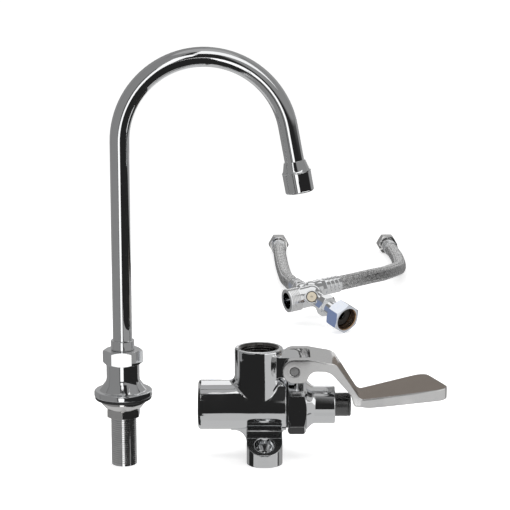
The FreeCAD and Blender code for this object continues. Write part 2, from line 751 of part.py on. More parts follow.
def make_valve_body():
    body = new_body("valve_body", valve_spot)
    half_foot = s.foot_width / 2
    for side in (1, -1):
        corners = [(side * c[0], *c[1:]) for c in foot_outline()]
        extrude(body, "YZ_Plane", corners, s.foot_width, offset=(0, 0, s.foot_offset), middle=True)
    reach = s.foot_reach + 5
    low, high = s.foot_offset - half_foot, s.foot_offset + half_foot
    corner = half_foot - 0.5
    for side in (1, -1):
        extrude(body, "XY_Plane", [
            (low - 5, side * (s.foot_reach - half_foot)),
            (low, side * (s.foot_reach - half_foot)),
            (low, side * s.foot_reach, corner),
            (high, side * s.foot_reach, corner),
            (high, side * (s.foot_reach - half_foot)),
            (high + 5, side * (s.foot_reach - half_foot)),
            (high + 5, side * reach),
            (low - 5, side * reach),
        ], s.foot_crest * 2, offset=(0, 0, floor - 1), cut=True, flip=True)
    for side in (1, -1):
        turn(body, [
            (0, floor - 1),
            (s.screw_hole / 2, floor - 1),
            (s.screw_hole / 2, floor + s.screw_floor),
            (s.screw_sink / 2, floor + s.screw_floor + (s.screw_sink - s.screw_hole) / 2),
            (s.screw_sink / 2, floor + s.foot_crest + 2),
            (0, floor + s.foot_crest + 2),
        ], cut=True, offset=(s.foot_offset, 0, side * s.screw_reach))
    turn(body, [
        (-s.casting_left, 0),
        (s.casting_right, 0),
        (s.casting_right, casting_radius, s.rim_round),
        (-s.casting_left, casting_radius, s.end_round),
    ], "H_Axis")
    turn(body, [
        (0, 0),
        (s.upright_diameter / 2, 0),
        (s.upright_diameter / 2, s.upright_rise, s.rim_round),
        (0, s.upright_rise),
    ])
    lug_level = s.pivot_rise + s.lug_lift
    lug_low, lug_high = lug_level - s.lug_radius, lug_level + s.lug_radius
    lug_end = s.pivot_across + s.lug_radius
    extrude(body, "XZ_Plane", [
        (0, lug_low),
        (lug_end, lug_low, s.lug_radius * 0.98),
        (lug_end, lug_high, s.lug_radius * 0.98),
        (0, lug_high),
    ], s.lug_width, middle=True)
    web_floor = floor + s.foot_lip
    for edge, hollow, side in ((low, s.left_web, -1), (high, s.right_web, 1)):
        extrude(body, "XZ_Plane", [
            (s.foot_offset, -s.web_level / 2),
            (edge + hollow * 1.2 * side, -s.web_level / 2),
            (edge + hollow * 1.2 * side, -s.web_level),
            (edge, -s.web_level, hollow),
            (edge, web_floor),
            (s.foot_offset, web_floor),
        ], s.web_width, middle=True)
    blend_casting(body, lug_low, lug_high)
    extrude(body, "XZ_Plane", [], s.lug_width + 2, middle=True, cut=True,
            holes=[(s.pivot_across, s.pivot_rise, s.pin_diameter / 2)])
    thread, mouth = s.port_thread / 2, s.port_mouth / 2
    lead = mouth - thread
    passage = s.port_passage / 2
    chamber = s.chamber_diameter / 2
    seat = s.seat_diameter / 2
    bonnet = s.bonnet_thread / 2 + s.thread_gap
    bonnet_depth = s.casting_right - s.bonnet_thread_length
    turn(body, [
        (-s.casting_left - 1, 0),
        (-s.casting_left - 1, mouth),
        (-s.casting_left, mouth),
        (-s.casting_left + lead, thread),
        (-s.casting_left + s.port_depth, thread),
        (-s.casting_left + s.port_depth, passage),
        (web_left, passage),
        (web_left, seat),
        (-s.seat_offset, seat),
        (-s.seat_offset, chamber),
        (bonnet_depth, chamber),
        (bonnet_depth, bonnet),
        (s.casting_right + 1, bonnet),
        (s.casting_right + 1, 0),
    ], "H_Axis", cut=True)
    turn(body, [
        (0, 0),
        (passage, 0),
        (passage, s.upright_rise - s.port_depth),
        (thread, s.upright_rise - s.port_depth),
        (thread, s.upright_rise - lead),
        (mouth, s.upright_rise),
        (mouth, s.upright_rise + 1),
        (0, s.upright_rise + 1),
    ], cut=True)


def blend_casting(body, lug_low, lug_high):
    """Rounded blends where the casting's cylinders, foot and lug run into each other."""
    upright = s.upright_diameter.value / 2

    def on_upright(spot):
        return abs(math.hypot(spot.x, spot.y) - upright) < TOUCH

    def on_barrel(spot):
        return abs(math.hypot(spot.y, spot.z) - casting_radius.value) < TOUCH

    def on_lug(spot):
        return on_upright(spot) and lug_low.value - TOUCH < spot.z < lug_high.value + TOUCH

    def on_neck(spot):
        return on_barrel(spot) and spot.z < 0 and abs(abs(spot.y) - s.neck_reach.value) < TOUCH

    blend(body, "Saddle", s.blend_radius, lambda spot: on_upright(spot) and on_barrel(spot) and spot.z > 0)
    blend(body, "LugBlend", s.lug_blend, on_lug)
    blend(body, "NeckBlend", s.neck_blend, on_neck)


def blend(body, name, radius, wanted):
    """Fillet along every edge that keeps to the wanted place."""
    doc.recompute()
    base = body.Tip
    edges = []
    for index, edge in enumerate(base.Shape.Edges, start=1):
        if all(wanted(spot) for spot in edge.discretize(9)):
            edges.append(f"Edge{index}")
    fillet = body.newObject("PartDesign::Fillet", name)
    fillet.Base = (base, edges)
    fillet.setExpression("Radius", radius.formula)


def make_bonnet():
    body = new_body("bonnet", valve_spot)
    extrude(body, "YZ_Plane", hexagon(s.bonnet_flats, corner_on_x=False), s.bonnet_height,
            offset=(0, 0, bonnet_start))
    bevel_hexagon(body, s.bonnet_flats, hexagon_end, True, "H_Axis")
    bevel_hexagon(body, s.bonnet_flats, bonnet_start, False, "H_Axis")
    guide = s.guide_diameter / 2
    neck = s.bonnet_flats * 0.46
    thread_start = bonnet_start - s.bonnet_gasket - s.bonnet_thread_length
    turn(body, [
        (thread_start, 0),
        (guide_end, 0),
        (guide_end, guide, s.edge_round),
        (neck_end, guide, s.bonnet_neck * 0.9),
        (hexagon_end, neck),
        (bonnet_start + 1, neck),
        (bonnet_start + 1, s.bonnet_thread / 2),
        (thread_start, s.bonnet_thread / 2),
    ], "H_Axis")
    packing = s.packing_diameter / 2
    packing_end = thread_start + s.packing_ring_height * 2
    turn(body, [
        (thread_start - 1, 0),
        (thread_start - 1, packing),
        (packing_end, packing),
        (packing_end, stem_radius + s.running_gap),
        (s.spring_start, stem_radius + s.running_gap),
        (s.spring_start, s.spring_room / 2),
        (lip_start, s.spring_room / 2),
        (lip_start, s.plunger_diameter / 2 + s.running_gap),
        (guide_end + 1, s.plunger_diameter / 2 + s.running_gap),
        (guide_end + 1, 0),
    ], "H_Axis", cut=True)
    names = ("packing_gland", "stem_packing")
    for index, name in enumerate(names):
        start = thread_start + s.packing_ring_height * index
        turned_part(name, [
            (start, stem_radius + s.running_gap),
            (start + s.packing_ring_height, stem_radius + s.running_gap),
            (start + s.packing_ring_height, packing),
            (start, packing),
        ], "H_Axis", valve_spot)
    turned_part("bonnet_gasket", [
        (s.casting_right, s.bonnet_thread / 2 + s.thread_gap),
        (bonnet_start, s.bonnet_thread / 2 + s.thread_gap),
        (bonnet_start, casting_radius - s.rim_round),
        (s.casting_right, casting_radius - s.rim_round),
    ], "H_Axis", valve_spot)


def make_plunger():
    outer = s.plunger_diameter / 2
    stub = outer * 0.8
    bore_end = lip_start + s.plunger_stub
    ring = plunger_end - s.edge_round * 3
    turned_part("plunger", [
        (stub_start, stem_radius),
        (stub_start, stub),
        (shoulder_start, stub),
        (shoulder_start, s.spring_room / 2 - s.seat_gap),
        (shoulder_end, s.spring_room / 2 - s.seat_gap),
        (shoulder_end, outer),
        (ring - s.edge_round / 2, outer),
        (ring, outer - s.edge_round / 2),
        (ring + s.edge_round / 2, outer),
        (plunger_end, outer, s.edge_round * 1.3),
        (plunger_end, 0),
        (bore_end, 0),
        (bore_end, stem_radius),
    ], "H_Axis", valve_spot)
    screw = s.screw_diameter / 2
    screw_end = disc_right + s.screw_diameter * 2
    turned_part("valve_stem", [
        (disc_right, screw),
        (disc_right, stem_radius),
        (bore_end, stem_radius),
        (bore_end, 0),
        (screw_end, 0),
        (screw_end, screw),
    ], "H_Axis", valve_spot)
    turned_part("seat_washer", [
        (disc_left, screw),
        (disc_left, s.disc_diameter / 2),
        (disc_right, s.disc_diameter / 2),
        (disc_right, screw),
    ], "H_Axis", valve_spot)
    turned_part("washer_screw", [
        (disc_left - s.screw_head, 0),
        (disc_left - s.screw_head, s.screw_diameter * 1.2, s.edge_round),
        (disc_left, s.screw_diameter * 1.2),
        (disc_left, screw),
        (screw_end, screw),
        (screw_end, 0),
    ], "H_Axis", valve_spot)


def make_valve_seat():
    turned_part("valve_seat", [
        (seat_face, s.seat_bore / 2),
        (seat_face, s.port_passage / 2 - s.seat_gap),
        (web_left, s.port_passage / 2 - s.seat_gap),
        (web_left, s.seat_diameter / 2),
        (-s.seat_offset, s.seat_diameter / 2),
        (-s.seat_offset, s.seat_bore / 2),
    ], "H_Axis", valve_spot)


def make_return_spring():
    """Compression spring between the bonnet and the plunger's shoulder."""
    wire = s.wire_diameter.value / 2
    radius = s.spring_room.value / 2 - wire - 2 * s.seat_gap.value
    start = s.spring_start.value + wire + s.seat_gap.value
    length = shoulder_start.value - start - wire - s.seat_gap.value
    pitch = length / s.spring_turns.value
    helix = Part.makeLongHelix(pitch, length, radius)
    slope = FreeCAD.Vector(0, 2 * math.pi * radius, pitch)
    section = Part.Wire([Part.makeCircle(wire, FreeCAD.Vector(radius, 0, 0), slope)])
    coil = Part.Wire(helix.Edges).makePipeShell([section], True, True)
    spring = doc.addObject("Part::Feature", "Spring")
    spring.Label = "return_spring"
    spring.Shape = coil
    base = FreeCAD.Vector(s.valve_across.value + start, s.valve_back.value, s.valve_level.value)
    spring.Placement = FreeCAD.Placement(base, FreeCAD.Rotation(FreeCAD.Vector(0, 1, 0), 90))
    parts.append(spring)


# Pedal: pin in the lug, forked lever that turns on it

def make_pivot_pin():
    body = new_body("pivot_pin", valve_spot)
    extrude(body, "XZ_Plane", [], s.fork_width, middle=True,
            holes=[(s.pivot_across, s.pivot_rise, s.pin_diameter / 2)])


def make_pedal_lever():
    """Forked lever: side outline, trimmed to its plan, slotted and drilled for the pin."""
    body = new_body("pedal_lever", valve_spot)
    across, rise = s.pivot_across, s.pivot_rise
    eye, reach = s.eye_radius, s.lever_reach
    side = [
        (across - eye, rise - eye * 0.98, eye * 0.92),
        (across - eye, rise + eye, eye * 0.92),
        (across + reach * 0.094, rise + eye * 1.02, eye * 1.2),
        (across + reach * 0.27, rise + eye * 0.62, eye),
        (across + reach * 0.432, rise - reach * 0.203, eye * 0.6),
        (across + reach * 0.997, rise - reach * 0.098, s.paddle_edge * 0.2),
        (across + reach, rise - reach * 0.172, s.paddle_edge * 0.4),
        (across + reach * 0.487, rise - reach * 0.254, eye * 1.2),
        (across + reach * 0.391, rise - reach * 0.247, eye * 0.3),
        (across + reach * 0.369, rise - reach * 0.1713, eye * 0.8),
        (across + reach * 0.2298, rise - eye * 0.02, eye * 1.2),
        (across + eye * 1.35, rise + eye * 0.04, eye * 0.8),
        (across + eye * 0.95, rise - eye * 0.98, eye * 0.5),
    ]
    extrude(body, "XZ_Plane", side, s.paddle_width, middle=True)
    fork, waist, paddle = s.fork_width / 2, s.waist_width / 2, s.paddle_width / 2
    outline = [
        (across - eye - 5, -fork),
        (across + reach * 0.23, -fork, reach * 0.12),
        (across + reach * 0.36, -waist, reach * 0.1),
        (across + reach * 0.44, -waist, reach * 0.08),
        (across + reach * 0.58, -waist * 1.22, reach * 0.3),
        (across + reach * 1.01, -paddle, s.paddle_round * 0.6),
        (across + reach * 0.885, paddle, s.paddle_round * 0.9),
        (across + reach * 0.58, waist * 1.22, reach * 0.3),
        (across + reach * 0.44, waist, reach * 0.08),
        (across + reach * 0.36, waist, reach * 0.1),
        (across + reach * 0.23, fork, reach * 0.12),
        (across - eye - 5, fork),
    ]
    frame = [
        (across - eye - 9, -paddle - 5),
        (across + reach * 1.1, -paddle - 5),
        (across + reach * 1.1, paddle + 5),
        (across - eye - 9, paddle + 5),
    ]
    sketch = new_sketch(body, "XY_Plane")
    add_outline(sketch, outline)
    add_outline(sketch, frame)
    trim = body.newObject("PartDesign::Pocket", "Trim")
    trim.Profile = sketch
    trim.Midplane = True
    trim.setExpression("Length", (s.pivot_rise * 6).formula)
    slot = s.fork_gap / 2
    extrude(body, "XY_Plane", [
        (across - eye - 8, -slot),
        (across + s.fork_slot, -slot, 3),
        (across + s.fork_slot, slot, 3),
        (across - eye - 8, slot),
    ], s.pivot_rise * 6, middle=True, cut=True)
    extrude(body, "XZ_Plane", [], s.paddle_width * 2, middle=True, cut=True,
            holes=[(across, rise, s.pin_diameter / 2 + s.running_gap)])


# Mixing tee: branches leave its centre in their own directions

tee_spot = (s.tee_across, s.tee_back, s.tee_level)
right_spot = (s.tee_across + s.right_across, s.tee_back + s.right_back, s.tee_level + s.right_rise)
left_spot = (s.tee_across + s.left_across, s.tee_back + s.left_back, s.tee_level + s.left_rise)
male_way = direction(s.male_azimuth.value, s.male_tilt.value)
nut_way = direction(s.nut_azimuth.value, s.nut_tilt.value)
right_way = direction(s.right_azimuth.value, s.right_tilt.value)
left_way = direction(s.left_azimuth.value, s.left_tilt.value)
plug_way = direction(s.plug_azimuth.value, s.plug_tilt.value)
nipple_end = s.boss_reach + s.nipple_hex
ferrule_end = nipple_end + s.ferrule_length


def point(spot):
    return FreeCAD.Vector(*[as_size(distance).value for distance in spot])


def rod(diameter, length, way, start=0, spot=tee_spot):
    """Round bar from a spot along a direction."""
    bar = doc.addObject("Part::Cylinder", "Rod")
    bar.setExpression("Radius", (as_size(diameter) / 2).formula)
    bar.setExpression("Height", (as_size(length) - start).formula)
    bar.Placement = FreeCAD.Placement(point(spot) + way * as_size(start).value, aim(way))
    return bar


def ball(diameter, spot, way):
    """Ball whose poles lie on the way of a branch, so that they end inside the casting."""
    core = doc.addObject("Part::Sphere", "Core")
    core.setExpression("Radius", (as_size(diameter) / 2).formula)
    core.Placement = FreeCAD.Placement(point(spot), aim(way))
    return core


def make_tee_body():
    centre = point(tee_spot)
    thread_start = s.male_reach - s.male_thread_length
    plug_seat = s.plug_reach - s.plug_depth
    outside = [
        ball(s.tee_diameter + 1, tee_spot, nut_way),
        rod(s.tee_diameter, s.male_reach, male_way),
        rod(s.male_diameter, s.male_reach, male_way, thread_start),
        rod(s.branch_diameter, s.branch_reach, nut_way),
        rod(s.plug_diameter + s.plug_ring * 4, s.plug_reach, plug_way),
    ]
    inside = [
        rod(s.male_bore, s.male_reach + 1, male_way, 4),
        rod(s.tee_passage, s.branch_reach + 1, nut_way),
        rod(s.tail_thread, s.branch_reach + 1, nut_way, s.branch_reach - s.tail_thread_length),
        rod(s.plug_diameter + s.plug_ring * 2, s.plug_reach + 1, plug_way, plug_seat),
    ]
    for spot, way in ((right_spot, right_way), (left_spot, left_way)):
        link = point(spot) - centre
        reach = link.Length
        link.normalize()
        seat = s.boss_reach - s.nipple_thread_length
        outside += [
            ball(s.boss_diameter + 1, spot, way),
            rod(s.boss_diameter - 1, reach, link),
            rod(s.boss_diameter, s.boss_reach, way, spot=spot),
        ]
        inside += [
            rod(s.tee_passage - 1, reach + 4, link),
            rod(s.tee_passage, s.boss_reach + 1, way, -4, spot),
            rod(s.nipple_thread, s.boss_reach + 1, way, seat, spot),
        ]
    solid = doc.addObject("Part::MultiFuse", "Outside")
    solid.Shapes = outside
    hollow = doc.addObject("Part::MultiFuse", "Inside")
    hollow.Shapes = inside
    tee = doc.addObject("Part::Cut", "Tee")
    tee.Base = solid
    tee.Tool = hollow
    for step in (solid, hollow, tee):
        step.Refine = False
    tee.Label = "tee_body"
    parts.append(tee)


def make_tee_plug():
    radius = s.plug_diameter / 2
    seat = s.plug_reach - s.plug_depth
    place = {"base": tee_spot, "rotation": aim(plug_way)}
    turned_part("test_plug", [
        (0, seat),
        (radius, seat),
        (radius, s.plug_reach, s.edge_round),
        (1.6, s.plug_reach),
        (0, s.plug_reach - 1),
    ], **place)
    turned_part("plug_seal", [
        (radius, seat),
        (radius + s.plug_ring, seat),
        (radius + s.plug_ring, s.plug_reach - 0.4),
        (radius, s.plug_reach - 0.4),
    ], **place)


def make_tailpiece():
    """Hexagon, neck and flange that carry the swivel nut."""
    start = s.branch_reach
    hex_end = start + s.tail_hex
    face = start + s.tail_length
    place = {"base": tee_spot, "rotation": aim(nut_way)}
    body = new_body("tailpiece", **place)
    extrude(body, "XY_Plane", hexagon(s.tail_flats), s.tail_hex, offset=(0, 0, start))
    bevel_hexagon(body, s.tail_flats, hex_end, True)
    turn(body, [
        (0, start - s.tail_thread_length),
        (s.tail_thread / 2, start - s.tail_thread_length),
        (s.tail_thread / 2, start + 1),
        (s.tail_diameter / 2, start + 1),
        (s.tail_diameter / 2, face - s.tail_flange_height),
        (s.tail_flange / 2, face - s.tail_flange_height),
        (s.tail_flange / 2, face),
        (0, face),
    ])
    turn(body, [
        (0, 0),
        (s.tee_passage / 2, 0),
        (s.tee_passage / 2, face + 1),
        (0, face + 1),
    ], cut=True)
    nut_base = face - s.tail_flange_height - s.coupling_play - s.coupling_wall
    make_swivel_nut("swivel_nut", s.coupling_flats, s.tail_diameter, s.coupling_bore, s.coupling_wall,
                    nut_base, face + s.coupling_washer, nut_base + s.coupling_height, place,
                    corner_on_x=False)
    turned_part("nut_gasket", [
        (s.tee_passage / 2, face),
        (s.tail_flange / 2, face),
        (s.tail_flange / 2, face + s.coupling_washer),
        (s.tee_passage / 2, face + s.coupling_washer),
    ], **place)


def make_swivel_nut(label, flats, neck, bore, wall, base, relief_end, top, place, corner_on_x=True):
    """Union nut: back wall round the neck, a relief groove over the flange, then its thread."""
    passage = neck / 2 + s.seat_gap
    thread = bore / 2
    relief = thread + s.thread_relief
    lead = s.thread_relief * 2
    hex_nut(label, flats, base, top, [
        (0, base - 1),
        (passage, base - 1),
        (passage, base + wall),
        (relief, base + wall),
        (relief, relief_end),
        (thread, relief_end),
        (thread, top - lead),
        (thread + lead, top),
        (thread + lead, top + 1),
        (0, top + 1),
    ], corner_on_x, **place)


def make_nipple(side, spot, way):
    """Hose nipple with its hexagon, check valve and crimped ferrule on one boss of the tee."""
    place = {"base": spot, "rotation": aim(way)}
    seat = s.boss_reach
    entry = seat - s.nipple_thread_length
    check_end = entry + s.check_length
    bore = s.hose_bore / 2
    barb = bore + 1.2
    body = new_body(f"{side}_nipple", **place)
    extrude(body, "XY_Plane", hexagon(s.nipple_flats), s.nipple_hex, offset=(0, 0, seat))
    bevel_hexagon(body, s.nipple_flats, nipple_end, True)
    turn(body, [
        (0, entry),
        (s.nipple_thread / 2, entry),
        (s.nipple_thread / 2, seat + 1),
        (barb, seat + 1),
        (barb, ferrule_end - 1),
        (0, ferrule_end - 1),
    ])
    turn(body, [
        (0, entry - 1),
        (s.check_diameter / 2, entry - 1),
        (s.check_diameter / 2, check_end),
        (bore, check_end),
        (bore, ferrule_end + 1),
        (0, ferrule_end + 1),
    ], cut=True)
    turned_part(f"{side}_check_valve", [
        (s.check_diameter / 2 - 1.2, entry),
        (s.check_diameter / 2, entry),
        (s.check_diameter / 2, check_end),
        (s.check_diameter / 2 - 1.2, check_end),
        (1.2, check_end - s.check_length / 3),
        (1.2, check_end - s.check_length * 0.6),
    ], **place)
    make_ferrule(f"{side}_ferrule", nipple_end, barb, place)


def make_ferrule(label, start, inner, place):
    """Sleeve crimped over the hose's end, with three crimp rings."""
    end = start + s.ferrule_length
    outer = s.ferrule_diameter / 2
    corners = [(inner, start), (outer, start, s.edge_round)]
    for step in (1, 2, 3):
        middle = start + s.ferrule_length * step / 4
        corners += [
            (outer, middle - s.crimp_width / 2),
            (outer - s.crimp_depth, middle - s.crimp_width / 4),
            (outer - s.crimp_depth, middle + s.crimp_width / 4),
            (outer, middle + s.crimp_width / 2),
        ]
    corners += [(outer, end, s.edge_round), (inner, end)]
    turned_part(label, corners, **place)


# Supply hoses: a route of points each, straight runs joined by tangent arcs

lead_out = s.hose_diameter.value * 1.5
right_exit = point(right_spot) + right_way * ferrule_end.value
left_exit = point(left_spot) + left_way * ferrule_end.value
right_route = [
    right_exit,
    right_exit + right_way * lead_out,
    FreeCAD.Vector(246.5, 571.2, 41.4),
    FreeCAD.Vector(262, 596, 39),
    FreeCAD.Vector(273, 627, 35.5),
    FreeCAD.Vector(281.5, 664, 30),
    FreeCAD.Vector(289.5, 710, 22),
    FreeCAD.Vector(296.5, 760, 12.8),
    FreeCAD.Vector(300.5, 808, 9.3),
    FreeCAD.Vector(300.5, 856, 10.5),
    FreeCAD.Vector(297, 896, 11.4),
]
left_route = [
    left_exit,
    left_exit + left_way * lead_out,
    FreeCAD.Vector(151.5, 610, 27),
    FreeCAD.Vector(149.5, 655, 19),
    FreeCAD.Vector(148.5, 705, 12),
    FreeCAD.Vector(146.5, 758, 9.0),
    FreeCAD.Vector(144.5, 812, 9.3),
    FreeCAD.Vector(143.5, 858, 10.6),
    FreeCAD.Vector(143, 894, 11.4),
]


def hose_path(name, route):
    """Wire of straight runs and tangent arcs, as large as the two runs allow."""
    edges = []
    start = route[0]
    radii = []
    for before, corner, after in zip(route, route[1:], route[2:]):
        into, out = corner - before, after - corner
        half = into.getAngle(out) / 2
        run = 0.45 * min(into.Length, out.Length)
        radii.append(run / math.tan(half))
        first = corner - into.normalize() * run
        last = corner + out.normalize() * run
        chord = (last - first).normalize()
        side = (corner - (first + last) * 0.5).normalize()
        middle = (first + last) * 0.5 + side * (radii[-1] * (1 - math.cos(half)))
        edges.append(Part.LineSegment(start, first).toShape())
        edges.append(Part.Arc(first, middle, last).toShape())
        start = last
        if chord.Length == 0:
            raise RuntimeError(f"{name} has a straight corner")
    edges.append(Part.LineSegment(start, route[-1]).toShape())
    print(name, "length", round(sum(edge.Length for edge in edges), 1),
          "smallest radius", round(min(radii), 1), [round(radius) for radius in radii])
    return Part.Wire(edges)


def make_hose(label, route):
    wire = hose_path(label, route)
    way = route[1] - route[0]
    tubes = []
    for diameter in (s.hose_diameter.value, s.hose_bore.value):
        section = Part.Wire([Part.makeCircle(diameter / 2, route[0], way)])
        tubes.append(wire.makePipeShell([section], True, False))
    tube = tubes[0].cut(tubes[1])
    area = math.pi * (s.hose_diameter.value ** 2 - s.hose_bore.value ** 2) / 4
    print(label, "volume over section times length", round(tube.Volume / (area * wire.Length), 4))
    hose = doc.addObject("Part::Feature", "Hose")
    hose.Label = label
    hose.Shape = tube
    parts.append(hose)


def make_hose_end(side, route):
    """Ferrule, tail, sealing washer and swivel nut on the free end of a hose."""
    way = (route[-1] - route[-2]).normalize()
    spot = tuple(route[-1])
    place = {"base": spot, "rotation": aim(way)}
    bore = s.hose_bore / 2
    barb = bore + 1.2
    tail_start = s.ferrule_length
    face = tail_start + s.end_tail_length
    flange_start = face - s.end_flange_height
    neck = s.end_neck / 2
    make_ferrule(f"{side}_end_ferrule", as_size(0), barb, place)
    turned_part(f"{side}_end_tail", [
        (bore, 1),
        (barb, 1),
        (barb, tail_start),
        (neck, tail_start),
        (neck, flange_start),
        (s.end_flange / 2, flange_start),
        (s.end_flange / 2, face),
        (bore, face),
    ], **place)
    nut_base = flange_start - s.coupling_play - s.end_wall
    make_swivel_nut(f"{side}_end_nut", s.end_flats, s.end_neck, s.end_bore, s.end_wall,
                    nut_base, face + s.end_washer, nut_base + s.end_height, place)
    turned_part(f"{side}_end_washer", [
        (bore, face),
        (s.end_flange / 2, face),
        (s.end_flange / 2, face + s.end_washer),
        (bore, face + s.end_washer),
    ], **place)


# The whole set

make_faucet_base()
make_deck_stack()
make_packing_nut()
make_spout_tube()
make_spout_swivel()
make_outlet()
make_valve_body()
make_bonnet()
make_plunger()
make_valve_seat()
make_return_spring()
make_pivot_pin()
make_pedal_lever()
make_tee_body()
make_tee_plug()
make_tailpiece()
hose_runs = {
    "right": (right_spot, right_way, right_route),
    "left": (left_spot, left_way, left_route),
}
for side, (spot, way, route) in hose_runs.items():
    make_nipple(side, spot, way)
    make_hose(f"{side}_hose", route)
    make_hose_end(side, route)
doc.recompute()

for thing in doc.Objects:
    if "Invalid" in thing.State or "Error" in thing.State:
        raise RuntimeError(f"{thing.Name} {thing.Label} failed: {thing.State}")
for part in parts:
    if part.Shape.isNull() or not part.Shape.isValid() or not part.Shape.Solids:
        raise RuntimeError(f"{part.Label} has no valid solid")

os.makedirs("parts", exist_ok=True)
for part in parts:
    part.Shape.exportStep(f"parts/{part.Label}.step")
print(len(parts), "parts written")
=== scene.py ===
import bmesh
import bpy
import json
import math
from mathutils import Matrix, Vector


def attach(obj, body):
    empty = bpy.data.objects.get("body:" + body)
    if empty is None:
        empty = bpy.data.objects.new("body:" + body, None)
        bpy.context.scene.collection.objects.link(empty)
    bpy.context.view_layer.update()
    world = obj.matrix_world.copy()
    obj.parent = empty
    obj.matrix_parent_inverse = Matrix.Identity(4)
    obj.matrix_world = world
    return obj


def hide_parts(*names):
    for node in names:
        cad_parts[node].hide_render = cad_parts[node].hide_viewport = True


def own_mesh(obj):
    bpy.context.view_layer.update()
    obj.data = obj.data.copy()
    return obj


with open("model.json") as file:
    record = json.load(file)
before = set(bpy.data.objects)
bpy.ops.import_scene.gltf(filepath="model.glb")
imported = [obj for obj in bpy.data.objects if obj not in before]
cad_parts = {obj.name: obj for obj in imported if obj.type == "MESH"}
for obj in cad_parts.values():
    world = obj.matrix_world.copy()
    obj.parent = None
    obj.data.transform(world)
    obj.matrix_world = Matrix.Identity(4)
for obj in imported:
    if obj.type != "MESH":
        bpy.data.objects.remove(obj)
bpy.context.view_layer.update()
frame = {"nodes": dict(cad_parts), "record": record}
MM = 0.001
UP = Vector((0, 0, 1))

# Places on the part, in metres, as the part's source has them
VALVE_SPOT = Vector((0.1128, 0.025, 0.0436))
PIVOT_SPOT = Vector((0.1425, 0.025, 0.0784))
TEE_SPOT = Vector((0.174, 0.505, 0.0324))


def direction(azimuth, tilt):
    """Unit vector from an azimuth over +X and a tilt over the level, in degrees."""
    level = math.cos(math.radians(tilt))
    return Vector((level * math.cos(math.radians(azimuth)),
                   level * math.sin(math.radians(azimuth)),
                   math.sin(math.radians(tilt))))


# The tee's ways: its male port, its union nut and its two hoses
MALE_WAY = direction(-155, -6)
NUT_WAY = direction(-54, -13.9)
RIGHT_WAY = direction(32, 4)
LEFT_WAY = direction(101, -3)
RIGHT_ROOT = TEE_SPOT + Vector((0, 14, 4.2)) * MM
LEFT_ROOT = TEE_SPOT + Vector((-10, 14, 2.2)) * MM
FERRULE_END = 38 * MM
LEAD_OUT = 25.5 * MM
HOSE_DIAMETER = 17 * MM


# Camera at the photograph's viewing angle

def place_camera():
    """Higher than the spout and tipped down, with a long lens, as the photograph was taken."""
    tip = 11
    data = bpy.data.cameras.new("camera")
    data.sensor_width = 36
    data.lens = 115.5
    data.clip_end = 60
    camera = bpy.data.objects.new("camera", data)
    camera.location = (0.1096, -1.3157, 0.4334)
    camera.rotation_euler = (math.radians(90 - tip), 0, 0)
    bpy.context.collection.objects.link(camera)
    bpy.context.scene.camera = camera


# Node helpers

def new_nodes(tree):
    """The emptied nodes and links of a tree."""
    tree.nodes.clear()
    return tree.nodes, tree.links


def feed(links, node, socket, value):
    """Sets a socket to a plain value, or links another node's output to it."""
    if isinstance(value, bpy.types.NodeSocket):
        links.new(value, node.inputs[socket])
    else:
        node.inputs[socket].default_value = value


def add_math(nodes, links, operation, first, second=0.0, clamp=False):
    """Result of a sum on numbers or outputs."""
    node = nodes.new("ShaderNodeMath")
    node.operation = operation
    node.use_clamp = clamp
    feed(links, node, 0, first)
    feed(links, node, 1, second)
    return node.outputs[0]


def add_vector_math(nodes, links, operation, first, second=None):
    """Outputs of a sum on vectors."""
    node = nodes.new("ShaderNodeVectorMath")
    node.operation = operation
    feed(links, node, 0, first)
    if second is not None:
        feed(links, node, 1, second)
    return node.outputs


def blend_colours(nodes, links, mask, low, high):
    """Colour between low, where the mask is 0, and high, where it is 1."""
    node = nodes.new("ShaderNodeMix")
    node.data_type = "RGBA"
    feed(links, node, 0, mask)
    feed(links, node, 6, low)
    feed(links, node, 7, high)
    return node.outputs[2]


def remap(nodes, links, value, low, high, to_low=0.0, to_high=1.0, smooth=True):
    """Value carried from one range to another, and held at its ends."""
    node = nodes.new("ShaderNodeMapRange")
    node.interpolation_type = "SMOOTHSTEP" if smooth else "LINEAR"
    feed(links, node, 0, value)
    for socket, number in zip((1, 2, 3, 4), (low, high, to_low, to_high)):
        node.inputs[socket].default_value = number
    return node.outputs[0]


def add_noise(nodes, links, vector, scale, detail, roughness=0.5):
    """Value of a noise texture."""
    node = nodes.new("ShaderNodeTexNoise")
    feed(links, node, "Vector", vector)
    feed(links, node, "Scale", scale)
    feed(links, node, "Detail", detail)
    feed(links, node, "Roughness", roughness)
    return node.outputs[0]


def add_bump(nodes, links, height, distance, strength, normal=None):
    """Normal of a surface with a relief; the distance is its depth in metres."""
    node = nodes.new("ShaderNodeBump")
    feed(links, node, "Distance", distance)
    feed(links, node, "Strength", strength)
    feed(links, node, "Height", height)
    if normal is not None:
        feed(links, node, "Normal", normal)
    return node.outputs[0]


def grey(level, warmth=0.0):
    """Grey with its red raised and its blue lowered by a share of it."""
    return (level * (1 + warmth), level, level * (1 - warmth), 1)


def group_tree(name, inputs, outputs):
    """An empty shader node group, with its input and output nodes."""
    tree = bpy.data.node_groups.new(name, "ShaderNodeTree")
    for label, kind, value in inputs:
        socket = tree.interface.new_socket(label, in_out="INPUT", socket_type=kind)
        if value is not None:
            socket.default_value = value
    for label, kind in outputs:
        tree.interface.new_socket(label, in_out="OUTPUT", socket_type=kind)
    start = tree.nodes.new("NodeGroupInput")
    end = tree.nodes.new("NodeGroupOutput")
    return tree, start, end


